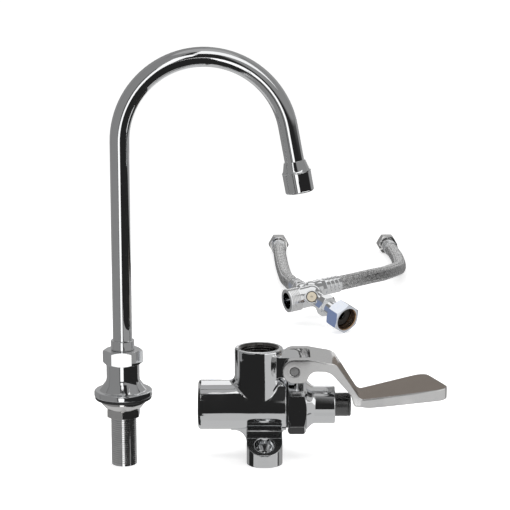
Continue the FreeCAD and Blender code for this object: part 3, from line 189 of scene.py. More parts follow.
def make_polish_group():
    """Polishing marks and fingerprints: a roughness value and a height."""
    tree, start, end = group_tree("polish_marks", [
        ("Vector", "NodeSocketVector", None),
        ("Low", "NodeSocketFloat", 0.03),
        ("High", "NodeSocketFloat", 0.12),
        ("Scale", "NodeSocketFloat", 60.0),
    ], [("Roughness", "NodeSocketFloat"), ("Height", "NodeSocketFloat")])
    nodes, links = tree.nodes, tree.links
    vector, low, high = start.outputs["Vector"], start.outputs["Low"], start.outputs["High"]
    smear = add_noise(nodes, links, vector, start.outputs["Scale"], 5, 0.6)
    soft = remap(nodes, links, smear, 0.4, 0.72)
    span = add_math(nodes, links, "SUBTRACT", high, low)
    rise = add_math(nodes, links, "MULTIPLY", span, soft)
    links.new(add_math(nodes, links, "ADD", rise, low), end.inputs["Roughness"])
    links.new(add_noise(nodes, links, vector, 900, 3), end.inputs["Height"])
    return tree


def make_edge_group():
    """Mask of the sharp edges, where plate is worn or catches dirt."""
    tree, start, end = group_tree("edge_mask", [
        ("Vector", "NodeSocketVector", None),
        ("Strength", "NodeSocketFloat", 0.5),
    ], [("Mask", "NodeSocketFloat")])
    nodes, links = tree.nodes, tree.links
    geometry = nodes.new("ShaderNodeNewGeometry")
    worn = remap(nodes, links, geometry.outputs["Pointiness"], 0.52, 0.6)
    breakup = add_noise(nodes, links, start.outputs["Vector"], 240, 4)
    patch = remap(nodes, links, breakup, 0.35, 0.65)
    mask = add_math(nodes, links, "MULTIPLY", worn, patch)
    strong = add_math(nodes, links, "MULTIPLY", mask, start.outputs["Strength"], True)
    links.new(strong, end.inputs["Mask"])
    return tree


def place_group(nodes, tree):
    """A node that runs a shared group."""
    node = nodes.new("ShaderNodeGroup")
    node.node_tree = tree
    return node


def start_material(name):
    """A material with its Principled shader and its coordinates, ready to be wired."""
    material = bpy.data.materials.new(name)
    material.use_nodes = True
    nodes, links = new_nodes(material.node_tree)
    shader = nodes.new("ShaderNodeBsdfPrincipled")
    output = nodes.new("ShaderNodeOutputMaterial")
    links.new(shader.outputs[0], output.inputs[0])
    coordinates = nodes.new("ShaderNodeTexCoord")
    return material, nodes, links, shader, coordinates


def metal(name, colour, low, high, scale=60.0, waves=0.0, wear=0.3, worn=grey(0.9),
          edge=0.4 * MM, draft=0.0):
    """Plated or machined metal with polishing marks, worn edges and rounded corners.

    Low and high are the least and most roughness. Waves are a casting's swells, in metres. A draft
    leans the upright faces down a little, as the sides of a casting lean.
    """
    material, nodes, links, shader, coordinates = start_material(name)
    vector = coordinates.outputs["Object"]
    marks = place_group(nodes, POLISH)
    for socket, value in (("Vector", vector), ("Low", low), ("High", high), ("Scale", scale)):
        feed(links, marks, socket, value)
    links.new(marks.outputs["Roughness"], shader.inputs["Roughness"])
    edges = place_group(nodes, EDGES)
    feed(links, edges, "Vector", vector)
    feed(links, edges, "Strength", wear)
    tint = blend_colours(nodes, links, edges.outputs["Mask"], colour, worn)
    links.new(tint, shader.inputs["Base Color"])
    shader.inputs["Metallic"].default_value = 1
    rounded = nodes.new("ShaderNodeBevel")
    rounded.samples = 6
    rounded.inputs["Radius"].default_value = edge
    lean = add_vector_math(nodes, links, "ADD", rounded.outputs[0], (0, 0, -draft))[0]
    level = add_vector_math(nodes, links, "NORMALIZE", lean)[0]
    normal = add_bump(nodes, links, marks.outputs["Height"], 0.02 * MM, 0.25, level)
    if waves:
        swell = add_noise(nodes, links, vector, 34, 1)
        normal = add_bump(nodes, links, swell, waves, 1, normal)
    links.new(normal, shader.inputs["Normal"])
    return material


def rubber(name, level, rough):
    """Matt rubber or plastic with a fine grain."""
    material, nodes, links, shader, coordinates = start_material(name)
    grain = add_noise(nodes, links, coordinates.outputs["Object"], 700, 4)
    tint = blend_colours(nodes, links, grain, grey(level * 0.7), grey(level * 1.4))
    links.new(tint, shader.inputs["Base Color"])
    roughness = remap(nodes, links, grain, 0.3, 0.7, rough - 0.1, rough + 0.1)
    links.new(roughness, shader.inputs["Roughness"])
    links.new(add_bump(nodes, links, grain, 0.05 * MM, 0.4), shader.inputs["Normal"])
    return material


def bare_and_shaded_bore(material, spot, way, bore, inside, past=None):
    """Colours the inside of a bore within a radius from an axis, past a distance along it if one is
    given: bare metal in some bores, painted shade in others.
    """
    fade = 0.6 * MM
    deep_fade = 0.5 * MM
    darkest = 0.45
    nodes, links = material.node_tree.nodes, material.node_tree.links
    coordinates = next(node for node in nodes if node.type == "TEX_COORD").outputs["Object"]
    offset = add_vector_math(nodes, links, "SUBTRACT", coordinates, spot)[0]
    across = add_vector_math(nodes, links, "CROSS_PRODUCT", offset, way)[0]
    reach = add_vector_math(nodes, links, "LENGTH", across)["Value"]
    mask = remap(nodes, links, reach, bore, bore + fade, 1, 0)
    if past is not None:
        along = add_vector_math(nodes, links, "DOT_PRODUCT", offset, way)["Value"]
        deep = remap(nodes, links, along, past - deep_fade, past)
        mask = add_math(nodes, links, "MULTIPLY", mask, deep)
    base_colour = nodes["Principled BSDF"].inputs["Base Color"]
    plated = base_colour.links[0].from_socket
    stain = add_noise(nodes, links, coordinates, 160, 4)
    brown = tuple(channel * darkest for channel in inside[:3]) + (1,)
    # The inside colour with random stains; a dark colour here is painted shade
    inside_colour = blend_colours(nodes, links, stain, brown, inside)
    links.new(blend_colours(nodes, links, mask, plated, inside_colour), base_colour)


def braid_steel(name):
    """Ribbons of parallel wires, with painted shade where they dip under the other set and in the
    grooves between wires, no two quite alike.

    The UV map runs across a ribbon, one unit to each ribbon, and up its weave.
    """
    wires_per_ribbon = 4
    material, nodes, links, shader, coordinates = start_material(name)
    split = nodes.new("ShaderNodeSeparateXYZ")
    links.new(coordinates.outputs["UV"], split.inputs[0])
    phase = add_math(nodes, links, "MULTIPLY", split.outputs[0], wires_per_ribbon * 2 * math.pi)
    ridge = add_math(nodes, links, "COSINE", phase)
    wires = remap(nodes, links, ridge, -1, 1, smooth=False)
    grime = add_noise(nodes, links, coordinates.outputs["Object"], 420, 3)
    # Painted shade: darker where a ribbon dips under the crossing set
    dip_shade = remap(nodes, links, split.outputs[1], 0.15, 0.8)
    alike = nodes.new("ShaderNodeTexWhiteNoise")
    alike.noise_dimensions = "1D"
    links.new(add_math(nodes, links, "FLOOR", split.outputs[0]), alike.inputs["W"])
    ribbon = remap(nodes, links, alike.outputs[0], 0, 1, 0.55, 1, smooth=False)
    # Painted shade in the grooves between the wires
    groove_shade = remap(nodes, links, wires, 0, 1, 0.7, 1, smooth=False)
    tone_and_groove_shade = add_math(nodes, links, "MULTIPLY", ribbon, groove_shade)
    clean = remap(nodes, links, grime, 0.3, 0.7, 0.75, 1.0)
    # Painted shade of the dips and grooves, times a random tone per ribbon and random grime
    lit = add_math(nodes, links, "MULTIPLY", dip_shade, tone_and_groove_shade)
    shade = add_math(nodes, links, "MULTIPLY", lit, clean)
    links.new(blend_colours(nodes, links, shade, grey(0.06), grey(1.0)), shader.inputs["Base Color"])
    shader.inputs["Metallic"].default_value = 1
    links.new(remap(nodes, links, grime, 0.3, 0.7, 0.24, 0.36), shader.inputs["Roughness"])
    links.new(add_bump(nodes, links, wires, 0.06 * MM, 0.6), shader.inputs["Normal"])
    return material


# Geometry node tree that winds a thread's ridge

RIDGE_HALF = 0.42  # half of the ridge's foot, in pitches
RIDGE_BACKING = -0.3  # how far the ridge reaches into the metal, in heights


def make_thread_tree():
    """Helical ridge with named inputs; a positive or negative height makes it stand out or in."""
    tree = bpy.data.node_groups.new("thread_ridge", "GeometryNodeTree")
    face = tree.interface
    face.new_socket("Geometry", in_out="INPUT", socket_type="NodeSocketGeometry")
    for label, kind in (("Radius", "NodeSocketFloat"), ("Pitch", "NodeSocketFloat"),
                        ("Turns", "NodeSocketFloat"), ("Height", "NodeSocketFloat"),
                        ("Metal", "NodeSocketMaterial")):
        face.new_socket(label, in_out="INPUT", socket_type=kind)
    face.new_socket("Geometry", in_out="OUTPUT", socket_type="NodeSocketGeometry")
    nodes, links = tree.nodes, tree.links
    start, end = nodes.new("NodeGroupInput"), nodes.new("NodeGroupOutput")
    turns, pitch, height = (start.outputs[label] for label in ("Turns", "Pitch", "Height"))
    spiral = nodes.new("GeometryNodeCurveSpiral")
    spiral.inputs["Resolution"].default_value = 72
    links.new(turns, spiral.inputs["Rotations"])
    links.new(start.outputs["Radius"], spiral.inputs["Start Radius"])
    links.new(start.outputs["Radius"], spiral.inputs["End Radius"])
    links.new(add_math(nodes, links, "MULTIPLY", turns, pitch), spiral.inputs["Height"])
    upright = nodes.new("GeometryNodeSetCurveNormal")
    upright.mode = "Z_UP"
    links.new(spiral.outputs[0], upright.inputs["Curve"])
    above = add_math(nodes, links, "MULTIPLY", pitch, RIDGE_HALF)
    below = add_math(nodes, links, "MULTIPLY", pitch, -RIDGE_HALF)
    backing = add_math(nodes, links, "MULTIPLY", height, RIDGE_BACKING)
    profile = nodes.new("GeometryNodeCurvePrimitiveQuadrilateral")
    profile.mode = "POINTS"
    corners = ((0.0, above), (height, 0.0), (0.0, below), (backing, 0.0))
    for number, (across, up) in enumerate(corners, 1):
        corner = nodes.new("ShaderNodeCombineXYZ")
        feed(links, corner, 0, across)
        feed(links, corner, 1, up)
        links.new(corner.outputs[0], profile.inputs[f"Point {number}"])
    sweep = nodes.new("GeometryNodeCurveToMesh")
    links.new(upright.outputs[0], sweep.inputs["Curve"])
    links.new(profile.outputs[0], sweep.inputs["Profile Curve"])
    sweep.inputs["Fill Caps"].default_value = True
    real = nodes.new("GeometryNodeRealizeInstances")
    links.new(sweep.outputs[0], real.inputs[0])
    dress = nodes.new("GeometryNodeSetMaterial")
    links.new(real.outputs[0], dress.inputs["Geometry"])
    links.new(start.outputs["Metal"], dress.inputs["Material"])
    links.new(dress.outputs[0], end.inputs[0])
    return tree


def run_tree(name, tree, values):
    """An object with the plain mesh that a geometry node tree gives for named inputs."""
    seed = bpy.data.objects.new(name, bpy.data.meshes.new(name))
    bpy.context.collection.objects.link(seed)
    modifier = seed.modifiers.new("tree", "NODES")
    modifier.node_group = tree
    for item in tree.interface.items_tree:
        if item.item_type == "SOCKET" and item.in_out == "INPUT" and item.name in values:
            modifier[item.identifier] = values[item.name]
    bpy.context.view_layer.update()
    solved = seed.evaluated_get(bpy.context.evaluated_depsgraph_get())
    mesh = bpy.data.meshes.new_from_object(solved)
    seed.modifiers.remove(modifier)
    seed.data = mesh
    return seed


def aim(way):
    """Turn that brings +Z to a direction."""
    return way.to_track_quat("Z", "Y").to_matrix().to_4x4()


def wind_thread(name, radius, pitch, length, height, spot, way, finish, body):
    """A thread on a bore or a shank, with its first turn at spot and its turns along way.

    Radius, pitch, length and height are in millimetres; the finish is a material's name.
    """
    piece = run_tree(name, THREAD, {
        "Radius": radius * MM,
        "Pitch": pitch * MM,
        "Turns": length / pitch,
        "Height": height * MM,
        "Metal": MATERIALS[finish],
    })
    piece.data.transform(Matrix.Translation(spot) @ aim(way))
    recalculate(piece.data)
    shade_smooth(piece.data, 50)
    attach(piece, body)


def recalculate(mesh):
    """Joins points that lie on each other and turns every face outwards."""
    work = bmesh.new()
    work.from_mesh(mesh)
    bmesh.ops.remove_doubles(work, verts=work.verts, dist=1e-7)
    bmesh.ops.recalc_face_normals(work, faces=work.faces)
    work.to_mesh(mesh)
    work.free()


def shade_smooth(mesh, angle):
    """Smooth faces, with the edges over an angle in degrees kept sharp."""
    for polygon in mesh.polygons:
        polygon.use_smooth = True
    mesh.set_sharp_from_angle(angle=math.radians(angle))


# Braided hoses

# Route points in millimetres, past the ferrule's straight lead
ROUTES = {
    "right": [
        (246.5, 571.2, 41.4),
        (262, 596, 39),
        (273, 627, 35.5),
        (281.5, 664, 30),
        (289.5, 710, 22),
        (296.5, 760, 12.8),
        (300.5, 808, 9.3),
        (300.5, 856, 10.5),
        (297, 896, 11.4),
    ],
    "left": [
        (151.5, 610, 27),
        (149.5, 655, 19),
        (148.5, 705, 12),
        (146.5, 758, 9.0),
        (144.5, 812, 9.3),
        (143.5, 858, 10.6),
        (143, 894, 11.4),
    ],
}
STARTS = {"right": (RIGHT_ROOT, RIGHT_WAY), "left": (LEFT_ROOT, LEFT_WAY)}


def hose_line(side):
    """Points along the hose, read from a smooth spline through its route."""
    root, way = STARTS[side]
    leave = root + way * FERRULE_END
    route = [leave, leave + way * LEAD_OUT] + [Vector(spot) * MM for spot in ROUTES[side]]
    data = bpy.data.curves.new("route", "CURVE")
    data.dimensions = "3D"
    spline = data.splines.new("NURBS")
    spline.points.add(len(route) - 1)
    for point, spot in zip(spline.points, route):
        point.co = (*spot, 1)
    spline.order_u = 3
    spline.use_endpoint_u = True
    spline.resolution_u = 24
    carrier = bpy.data.objects.new("route", data)
    bpy.context.collection.objects.link(carrier)
    bpy.context.view_layer.update()
    mesh = bpy.data.meshes.new_from_object(carrier)
    line = [vertex.co.copy() for vertex in mesh.vertices]
    bpy.data.objects.remove(carrier)
    return line


def even_steps(line, step):
    """The same line with its points at equal steps, and its length."""
    lengths = [0.0]
    for before, after in zip(line, line[1:]):
        lengths.append(lengths[-1] + (after - before).length)
    total = lengths[-1]
    count = max(2, round(total / step))
    points, index = [], 0
    for number in range(count + 1):
        want = total * number / count
        while index < len(lengths) - 2 and lengths[index + 1] < want:
            index += 1
        part = (want - lengths[index]) / (lengths[index + 1] - lengths[index])
        points.append(line[index].lerp(line[index + 1], min(1, part)))
    return points, total


def carried_frames(points):
    """Each point with its two cross directions, carried along without twist."""
    frames = []
    across = None
    for index, point in enumerate(points):
        ahead = points[min(index + 1, len(points) - 1)] - points[max(index - 1, 0)]
        ahead.normalize()
        if across is None:
            across = ahead.cross(UP).normalized()
        across = (across - ahead * across.dot(ahead)).normalized()
        frames.append((point, across, ahead.cross(across)))
    return frames


BRAID_STEP = 1.25 * MM
BRAID_RIBBONS = 20
BRAID_SPACING = 2 * math.pi / BRAID_RIBBONS
BRAID_PITCH = 54 * MM
BRAID_RADIUS = HOSE_DIAMETER / 2 - 0.42 * MM
BRAID_LIFT = 0.3 * MM
BRAID_STEEPNESS = 1.6
RIBBON_WIDTH = 1.65 * MM
# Points round a ribbon, across it in widths and up in millimetres
RIBBON_SECTION = ((-0.5, 0.0), (-0.2, 0.2), (0.2, 0.2), (0.5, 0.0), (0.0, -0.1))
CORE_RADIUS = HOSE_DIAMETER / 2 - 0.75 * MM
CORE_SIDES = 40
BRAID_SLOT, LINER_SLOT = 0, 1


def core_points(frames):
    """Rings of points round the hose's liner."""
    points = []
    for point, across, up in frames:
        for side in range(CORE_SIDES):
            angle = 2 * math.pi * side / CORE_SIDES
            points.append(point + (across * math.cos(angle) + up * math.sin(angle)) * CORE_RADIUS)
    return points


def weave_level(hand, ribbon, swing):
    """1 where a ribbon passes over the other set and -1 where it passes under, two by two."""
    crossing = 2 * ribbon + hand * 2 * swing / BRAID_SPACING
    weave = hand * math.sin(math.pi / 2 * crossing + math.pi / 4)
    return max(-1, min(1, weave * BRAID_STEEPNESS))


def ribbon_points(frames, step, hand, ribbon):
    """Rings of points round one ribbon, and how high it rides at each, from 0 to 1."""
    slope = hand * 2 * math.pi * BRAID_RADIUS / BRAID_PITCH
    points, heights = [], []
    for index, (point, across, up) in enumerate(frames):
        along = index * step
        swing = 2 * math.pi * along / BRAID_PITCH
        angle = hand * swing + ribbon * BRAID_SPACING
        weave = weave_level(hand, ribbon, swing)
        heights.append((weave + 1) / 2)
        reach = BRAID_RADIUS + BRAID_LIFT * weave
        outward = across * math.cos(angle) + up * math.sin(angle)
        aside = up * math.cos(angle) - across * math.sin(angle)
        broad = (aside - across.cross(up) * slope).normalized()
        for width, height in RIBBON_SECTION:
            bend = (width * RIBBON_WIDTH) ** 2 / (2 * BRAID_RADIUS)
            rise = reach + height * MM - bend
            points.append(point + outward * rise + broad * (width * RIBBON_WIDTH))
    return points, heights


def tube_faces(first, count, rings):
    """Faces from ring to ring, and then the faces that close both ends; first is their first point."""
    faces = []
    for ring in range(rings - 1):
        near, far = first + ring * count, first + (ring + 1) * count
        for part in range(count):
            after = (part + 1) % count
            faces.append((near + part, near + after, far + after, far + part))
    last = first + (rings - 1) * count
    faces.append([first + part for part in range(count)][::-1])
    faces.append([last + part for part in range(count)])
    return faces


def ribbon_uvs(ribbon, heights):
    """UVs of one ribbon's faces: the ribbon's number and the way across it, then its height."""
    count = len(RIBBON_SECTION)
    across = [ribbon + corner[0] + 0.5 for corner in RIBBON_SECTION]
    uvs = []
    for low, high in zip(heights, heights[1:]):
        for part in range(count):
            left, right = across[part], across[(part + 1) % count]
            uvs.append([(left, low), (right, low), (right, high), (left, high)])
    return uvs + [[(0.5, 0)] * count] * 2


def braid_mesh(name, line):
    """Core tube and two crossing sets of flat wire ribbons, each passing over two and under two."""
    points, total = even_steps(line, BRAID_STEP)
    frames = carried_frames(points)
    step = total / (len(points) - 1)
    vertices = core_points(frames)
    faces = tube_faces(0, CORE_SIDES, len(frames))
    uvs = [[(0, 0)] * len(face) for face in faces]
    slots = [LINER_SLOT] * len(faces)
    for hand in (1, -1):
        for ribbon in range(BRAID_RIBBONS):
            ring_points, heights = ribbon_points(frames, step, hand, ribbon)
            strip = tube_faces(len(vertices), len(RIBBON_SECTION), len(frames))
            vertices += ring_points
            faces += strip
            uvs += ribbon_uvs(ribbon, heights)
            slots += [BRAID_SLOT] * len(strip)
    mesh = bpy.data.meshes.new(name)
    mesh.from_pydata(vertices, [], faces)
    layer = mesh.uv_layers.new(name="weave")
    loop = 0
    for polygon, corners, slot in zip(mesh.polygons, uvs, slots):
        polygon.material_index = slot
        polygon.use_smooth = True
        for corner in corners:
            layer.data[loop].uv = corner
            loop += 1
    mesh.validate()
    return mesh, points, total


def lay_hose(side):
    """A braided hose in place of its plain solid."""
    name = f"{side}_braided_hose"
    mesh, points, total = braid_mesh(name, hose_line(side))
    hose = bpy.data.objects.new(name, mesh)
    bpy.context.collection.objects.link(hose)
    mesh.materials.append(MATERIALS["steel_braid"])
    mesh.materials.append(MATERIALS["hose_liner"])
    recalculate(mesh)
    mesh.set_sharp_from_angle(angle=math.radians(60))
    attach(hose, "set")
    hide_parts(f"{side}_hose")


# The carried-over solids: smooth shading, materials and the return spring

def make_shading_tree():
    """Merges the loose triangles and keeps only real edges sharp."""
    tree = bpy.data.node_groups.new("smooth_faces", "GeometryNodeTree")
    tree.interface.new_socket("Geometry", in_out="INPUT", socket_type="NodeSocketGeometry")
    limit = tree.interface.new_socket("Angle", in_out="INPUT", socket_type="NodeSocketFloat")
    limit.default_value = math.radians(24)
    tree.interface.new_socket("Geometry", in_out="OUTPUT", socket_type="NodeSocketGeometry")
    nodes, links = tree.nodes, tree.links
    start, end = nodes.new("NodeGroupInput"), nodes.new("NodeGroupOutput")
    weld = nodes.new("GeometryNodeMergeByDistance")
    weld.inputs["Distance"].default_value = 0.002 * MM
    links.new(start.outputs[0], weld.inputs["Geometry"])
    soft = nodes.new("GeometryNodeSetShadeSmooth")
    soft.domain = "FACE"
    links.new(weld.outputs[0], soft.inputs["Geometry"])
    angle = nodes.new("GeometryNodeInputMeshEdgeAngle")
    compare = nodes.new("FunctionNodeCompare")
    compare.operation = "GREATER_THAN"
    links.new(angle.outputs["Unsigned Angle"], compare.inputs[0])
    links.new(start.outputs["Angle"], compare.inputs[1])
    sharp = nodes.new("GeometryNodeSetShadeSmooth")
    sharp.domain = "EDGE"
    links.new(soft.outputs[0], sharp.inputs["Geometry"])
    links.new(compare.outputs[0], sharp.inputs["Selection"])
    sharp.inputs["Shade Smooth"].default_value = False
    links.new(sharp.outputs[0], end.inputs[0])
    return tree


def smooth_solid(piece):
    """Smooth shading on a solid, its real edges kept sharp."""
    piece.modifiers.new("smooth_faces", "NODES").node_group = SHADING


def lay_spring():
    """The return spring on a coil of its own; the real spring shortens towards its fixed end as the
    plunger slides in, but this coil keeps its shape.
    """
    node = frame["nodes"]["return_spring"]
    mesh = node.data.copy()
    mesh.transform(node.matrix_world)
    mesh.materials.clear()
    mesh.materials.append(MATERIALS["steel"])
    coil = bpy.data.objects.new("return_coil", mesh)
    bpy.context.collection.objects.link(coil)
    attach(coil, "set")
    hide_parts("return_spring")
    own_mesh(coil)
    smooth_solid(coil)


def dress_nodes():
    """Material and smooth shading on each solid of the frame."""
    slot_of = {piece["node"]: piece["material_slot"] for piece in frame["record"]["subparts"]}
    for name, node in frame["nodes"].items():
        node.data.materials.clear()
        node.data.materials.append(MATERIALS[FINISH_OF.get(name, slot_of[name])])
        smooth_solid(node)


# Studio: floor, soft panels and what the metal mirrors

WORLD_FILL = 0.62
FLOOR_GLOW = 0.55
DARK = 0.02
# What the metal mirrors: elevation limits, azimuth limits round from the camera, softness, level
ROOM = [
    (-95, 95, None, None, 5, DARK),
    (-95, -27, None, None, 3, 0.55),
    (64, 95, None, None, 5, 0.42),
    (-27, 64, -200, -100, 8, 0.27),
    (-27, 64, 106, 200, 8, 0.32),
    (6, 64, 9, 106, 4, 0.27),
    (2, 24, -200, -171, 2, 0.16),
    (2, 24, 158, 200, 2, 0.45),
    (-60, 64, -100, -19, 3, 0.25),
    (-46, -5, -14, 7, 2, 1.3),
]


def flat_sheet(name, corners):
    """A four-cornered sheet, with its material's nodes and links and the surface still to be wired."""
    mesh = bpy.data.meshes.new(name)
    mesh.from_pydata(corners, [], [(0, 1, 2, 3)])
    sheet = bpy.data.objects.new(name, mesh)
    bpy.context.collection.objects.link(sheet)
    material = bpy.data.materials.new(name)
    material.use_nodes = True
    mesh.materials.append(material)
    nodes, links = new_nodes(material.node_tree)
    return sheet, nodes, links, nodes.new("ShaderNodeOutputMaterial").inputs[0]


def studio_floor():
    """Pale floor that the camera sees as white and that keeps the part's shadow."""
    size = 20
    floor, nodes, links, surface = flat_sheet(
        "floor", [(-size, -size, 0), (size, -size, 0), (size, size, 0), (-size, size, 0)])
    matt = nodes.new("ShaderNodeBsdfDiffuse")
    matt.inputs[0].default_value = grey(0.8)
    glow = nodes.new("ShaderNodeEmission")
    path = nodes.new("ShaderNodeLightPath")
    seen = add_math(nodes, links, "MULTIPLY", path.outputs["Is Camera Ray"], FLOOR_GLOW)
    links.new(seen, glow.inputs[1])
    both = nodes.new("ShaderNodeAddShader")
    links.new(matt.outputs[0], both.inputs[0])
    links.new(glow.outputs[0], both.inputs[1])
    links.new(both.outputs[0], surface)
    floor.visible_glossy = False


def studio_panel(name, corners, level, tint=grey(1), back=True):
    """Flat card that only the metal's reflections see, at an even level; its back can be left clear."""
    card, nodes, links, surface = flat_sheet(name, corners)
    glow = nodes.new("ShaderNodeEmission")
    glow.inputs[0].default_value = tint
    glow.inputs[1].default_value = level
    shown = glow
    if not back:
        side = nodes.new("ShaderNodeNewGeometry")
        shown = nodes.new("ShaderNodeMixShader")
        links.new(side.outputs["Backfacing"], shown.inputs[0])
        links.new(glow.outputs[0], shown.inputs[1])
        links.new(nodes.new("ShaderNodeBsdfTransparent").outputs[0], shown.inputs[2])
    links.new(shown.outputs[0], surface)
    card.visible_camera = False
    card.visible_diffuse = False
    card.visible_shadow = False
    card.visible_transmission = False


def upright_card(name, start, end, low, high, level, tint=grey(1), back=True):
    """Card that stands over a line on the floor; its face is on the right of the way to the end."""
    corners = [(*start, low), (*end, low), (*end, high), (*start, high)]
    studio_panel(name, corners, level, tint, back)


def level_card(name, start, end, height, level, back=True):
    """Card that lies between two corners; it faces up, or down where only one coordinate grows."""
    corners = [(start[0], start[1], height), (end[0], start[1], height),
               (end[0], end[1], height), (start[0], end[1], height)]
    studio_panel(name, corners, level, back=back)


def soft_lamp(name, spot, target, size, power):
    """Rectangular lamp that lights the part but isn't mirrored in it."""
    data = bpy.data.lights.new(name, "AREA")
    data.shape = "RECTANGLE"
    data.size, data.size_y = size
    data.energy = power
    lamp = bpy.data.objects.new(name, data)
    lamp.location = spot
    lamp.rotation_euler = (Vector(target) - Vector(spot)).to_track_quat("-Z", "Y").to_euler()
    lamp.visible_camera = False
    lamp.visible_glossy = False
    bpy.context.collection.objects.link(lamp)


def window(nodes, links, value, low, high, soft):
    """Mask that is one between two limits, with soft sides."""
    rise = remap(nodes, links, value, low - soft, low + soft)
    fall = remap(nodes, links, value, high - soft, high + soft, 1, 0)
    return add_math(nodes, links, "MULTIPLY", rise, fall)


def room_level(nodes, links, elevation, azimuth):
    """Level of the mirrored room, each of its patches laid over the ones before."""
    level = None
    for low, high, left, right, soft, value in ROOM:
        mask = window(nodes, links, elevation, low, high, soft)
        if left is not None:
            sides = window(nodes, links, azimuth, left, right, soft)
            mask = add_math(nodes, links, "MULTIPLY", mask, sides)
        patch = add_math(nodes, links, "MULTIPLY", mask, value)
        if level is None:
            level = patch
            continue
        keep = add_math(nodes, links, "SUBTRACT", 1.0, mask)
        level = add_math(nodes, links, "ADD", add_math(nodes, links, "MULTIPLY", level, keep), patch)
    return level


def studio_world():
    """White to the camera; to the metal, a room with a pale table, a dark band and grey walls."""
    world = bpy.data.worlds.new("studio")
    bpy.context.scene.world = world
    world.use_nodes = True
    nodes, links = new_nodes(world.node_tree)
    coordinates = nodes.new("ShaderNodeTexCoord")
    split = nodes.new("ShaderNodeSeparateXYZ")
    links.new(coordinates.outputs["Generated"], split.inputs[0])
    degrees = 180 / math.pi
    rise = add_math(nodes, links, "ARCSINE", split.outputs[2])
    elevation = add_math(nodes, links, "MULTIPLY", rise, degrees)
    front = add_math(nodes, links, "MULTIPLY", split.outputs[1], -1)
    swing = add_math(nodes, links, "ARCTAN2", split.outputs[0], front)
    azimuth = add_math(nodes, links, "MULTIPLY", swing, degrees)
    path = nodes.new("ShaderNodeLightPath")
    glossy = path.outputs["Is Glossy Ray"]
    camera = path.outputs["Is Camera Ray"]
    either = add_math(nodes, links, "ADD", glossy, camera)
    plain = add_math(nodes, links, "SUBTRACT", 1.0, either, True)
    mirrored = add_math(nodes, links, "MULTIPLY", glossy, room_level(nodes, links, elevation, azimuth))
    fill = add_math(nodes, links, "MULTIPLY", plain, WORLD_FILL)
    strength = add_math(nodes, links, "ADD", add_math(nodes, links, "ADD", mirrored, camera), fill)
    background = nodes.new("ShaderNodeBackground")
    background.inputs[0].default_value = grey(1)
    links.new(strength, background.inputs[1])
    output = nodes.new("ShaderNodeOutputWorld")
    links.new(background.outputs[0], output.inputs[0])


def lay_cards():
    """The cards that the photograph's dark bands, pale faces and white lines come from."""
    # Dark and pale sides of the valve
    upright_card("dark_side_card", (0.05, -0.15), (0.05, 0.02), -0.08, 0.0775, DARK)
    upright_card("dark_top_card", (0.05, -0.15), (0.05, 0.0), 0.0775, 0.096, DARK)
    upright_card("dark_front_card", (0.05, -0.15), (0.162, -0.15), -0.038, 0.112, DARK)
    upright_card("low_front_card", (0.05, -0.15), (0.162, -0.15), -0.3, -0.038, 0.52)
    upright_card("dark_guide_card", (0.162, -0.15), (0.2, -0.15), 0.0, 0.112, DARK)
    upright_card("low_guide_card", (0.162, -0.15), (0.2, -0.15), -0.3, 0.0, 0.55)
    upright_card("dark_port_card", (0.055, 0.035), (0.055, 0.075), 0.07, 0.115, DARK, back=False)
    # Dark bands of the spout
    upright_card("dark_riser_card", (0.02, -0.004), (0.02, -0.06), 0.112, 0.25, DARK, back=False)
    studio_panel("dark_bend_card", [(0.035, -0.012, 0.2), (0.035, -0.15, 0.2), (0.1, -0.15, 0.31),
                                    (0.085, -0.012, 0.3)], DARK, back=False)
    upright_card("dark_arch_card", (0.07, -0.122), (0.025, -0.164), 0.17, 0.322, DARK, back=False)
    # Bonnet hexagon, lever arm, union nut's blue, flare and paddle
    upright_card("hex_card", (0.134, 0.05), (0.153, 0.05), -0.06, 0.01, 0.06)
    upright_card("arm_card", (0.12, 0.07), (0.187, 0.07), 0.088, 0.13, 0.42)
    upright_card("blue_card", (0.06, 0.35), (0.06, 0.52), -0.1, 0.1, 0.3, (0.7, 0.86, 1.3, 1))
    upright_card("flare_line_card", (-0.022, -0.1), (0.008, -0.1), 0.085, 0.14, 1.2)
    upright_card("pale_card", (0.2, -0.15), (0.32, 0.0), -0.08, 0.075, 0.55)
    upright_card("paddle_line_card", (0.2, -0.15), (0.32, 0.0), 0.075, 0.2, 1.1)
    # Faucet's base and packing nut, and the white line up its spout
    upright_card("base_card", (-0.045, 0.05), (0.045, 0.05), 0.045, 0.16, 0.38)
    upright_card("nut_card", (0.03, -0.12), (0.03, 0.0), 0.083, 0.112, 0.3)
    upright_card("riser_line_card", (-0.045, -0.3), (0.02, -0.3), 0.24, 0.42, 1.2)
    upright_card("bend_line_card", (-0.06, -0.3), (0.035, -0.3), 0.42, 0.56, 1.2)
    upright_card("arch_line_card", (0.03, -0.2), (0.45, -0.2), 0.5, 1.0, 1.1)
    level_card("arch_shade_card", (0.2, -0.9), (0.9, 0.3), 0.1, DARK, back=False)
    # White lines on the left port, the tee and the hoses
    level_card("port_line_card", (0.03, 0.13), (0.185, 0.25), 0.3, 1.0)
    level_card("tee_line_card", (0.03, 0.25), (0.35, 0.64), 0.3, 1.0)
    level_card("hose_line_card", (-0.3, 0.85), (0.7, 1.6), 0.3, 1.0)
    upright_card("ferrule_card", (0.27, 0.4), (0.4, 0.5), -0.05, 0.12, 0.6)
    # Valve's foot, paddle's top and the tee's face
    upright_card("pale_foot_card", (0.04, -0.03), (0.2, -0.03), -0.03, 0.012, 0.52)
    upright_card("taupe_card", (0.188, 0.075), (0.31, 0.075), 0.03, 0.13, 0.2, (1, 0.88, 0.78, 1))
    level_card("dark_foot_card", (0.1, 0.0145), (0.136, -0.012), 0.0625, 0.03, back=False)
    upright_card("tee_card", (0.07, 0.43), (0.27, 0.4), -0.05, 0.2, 0.8)


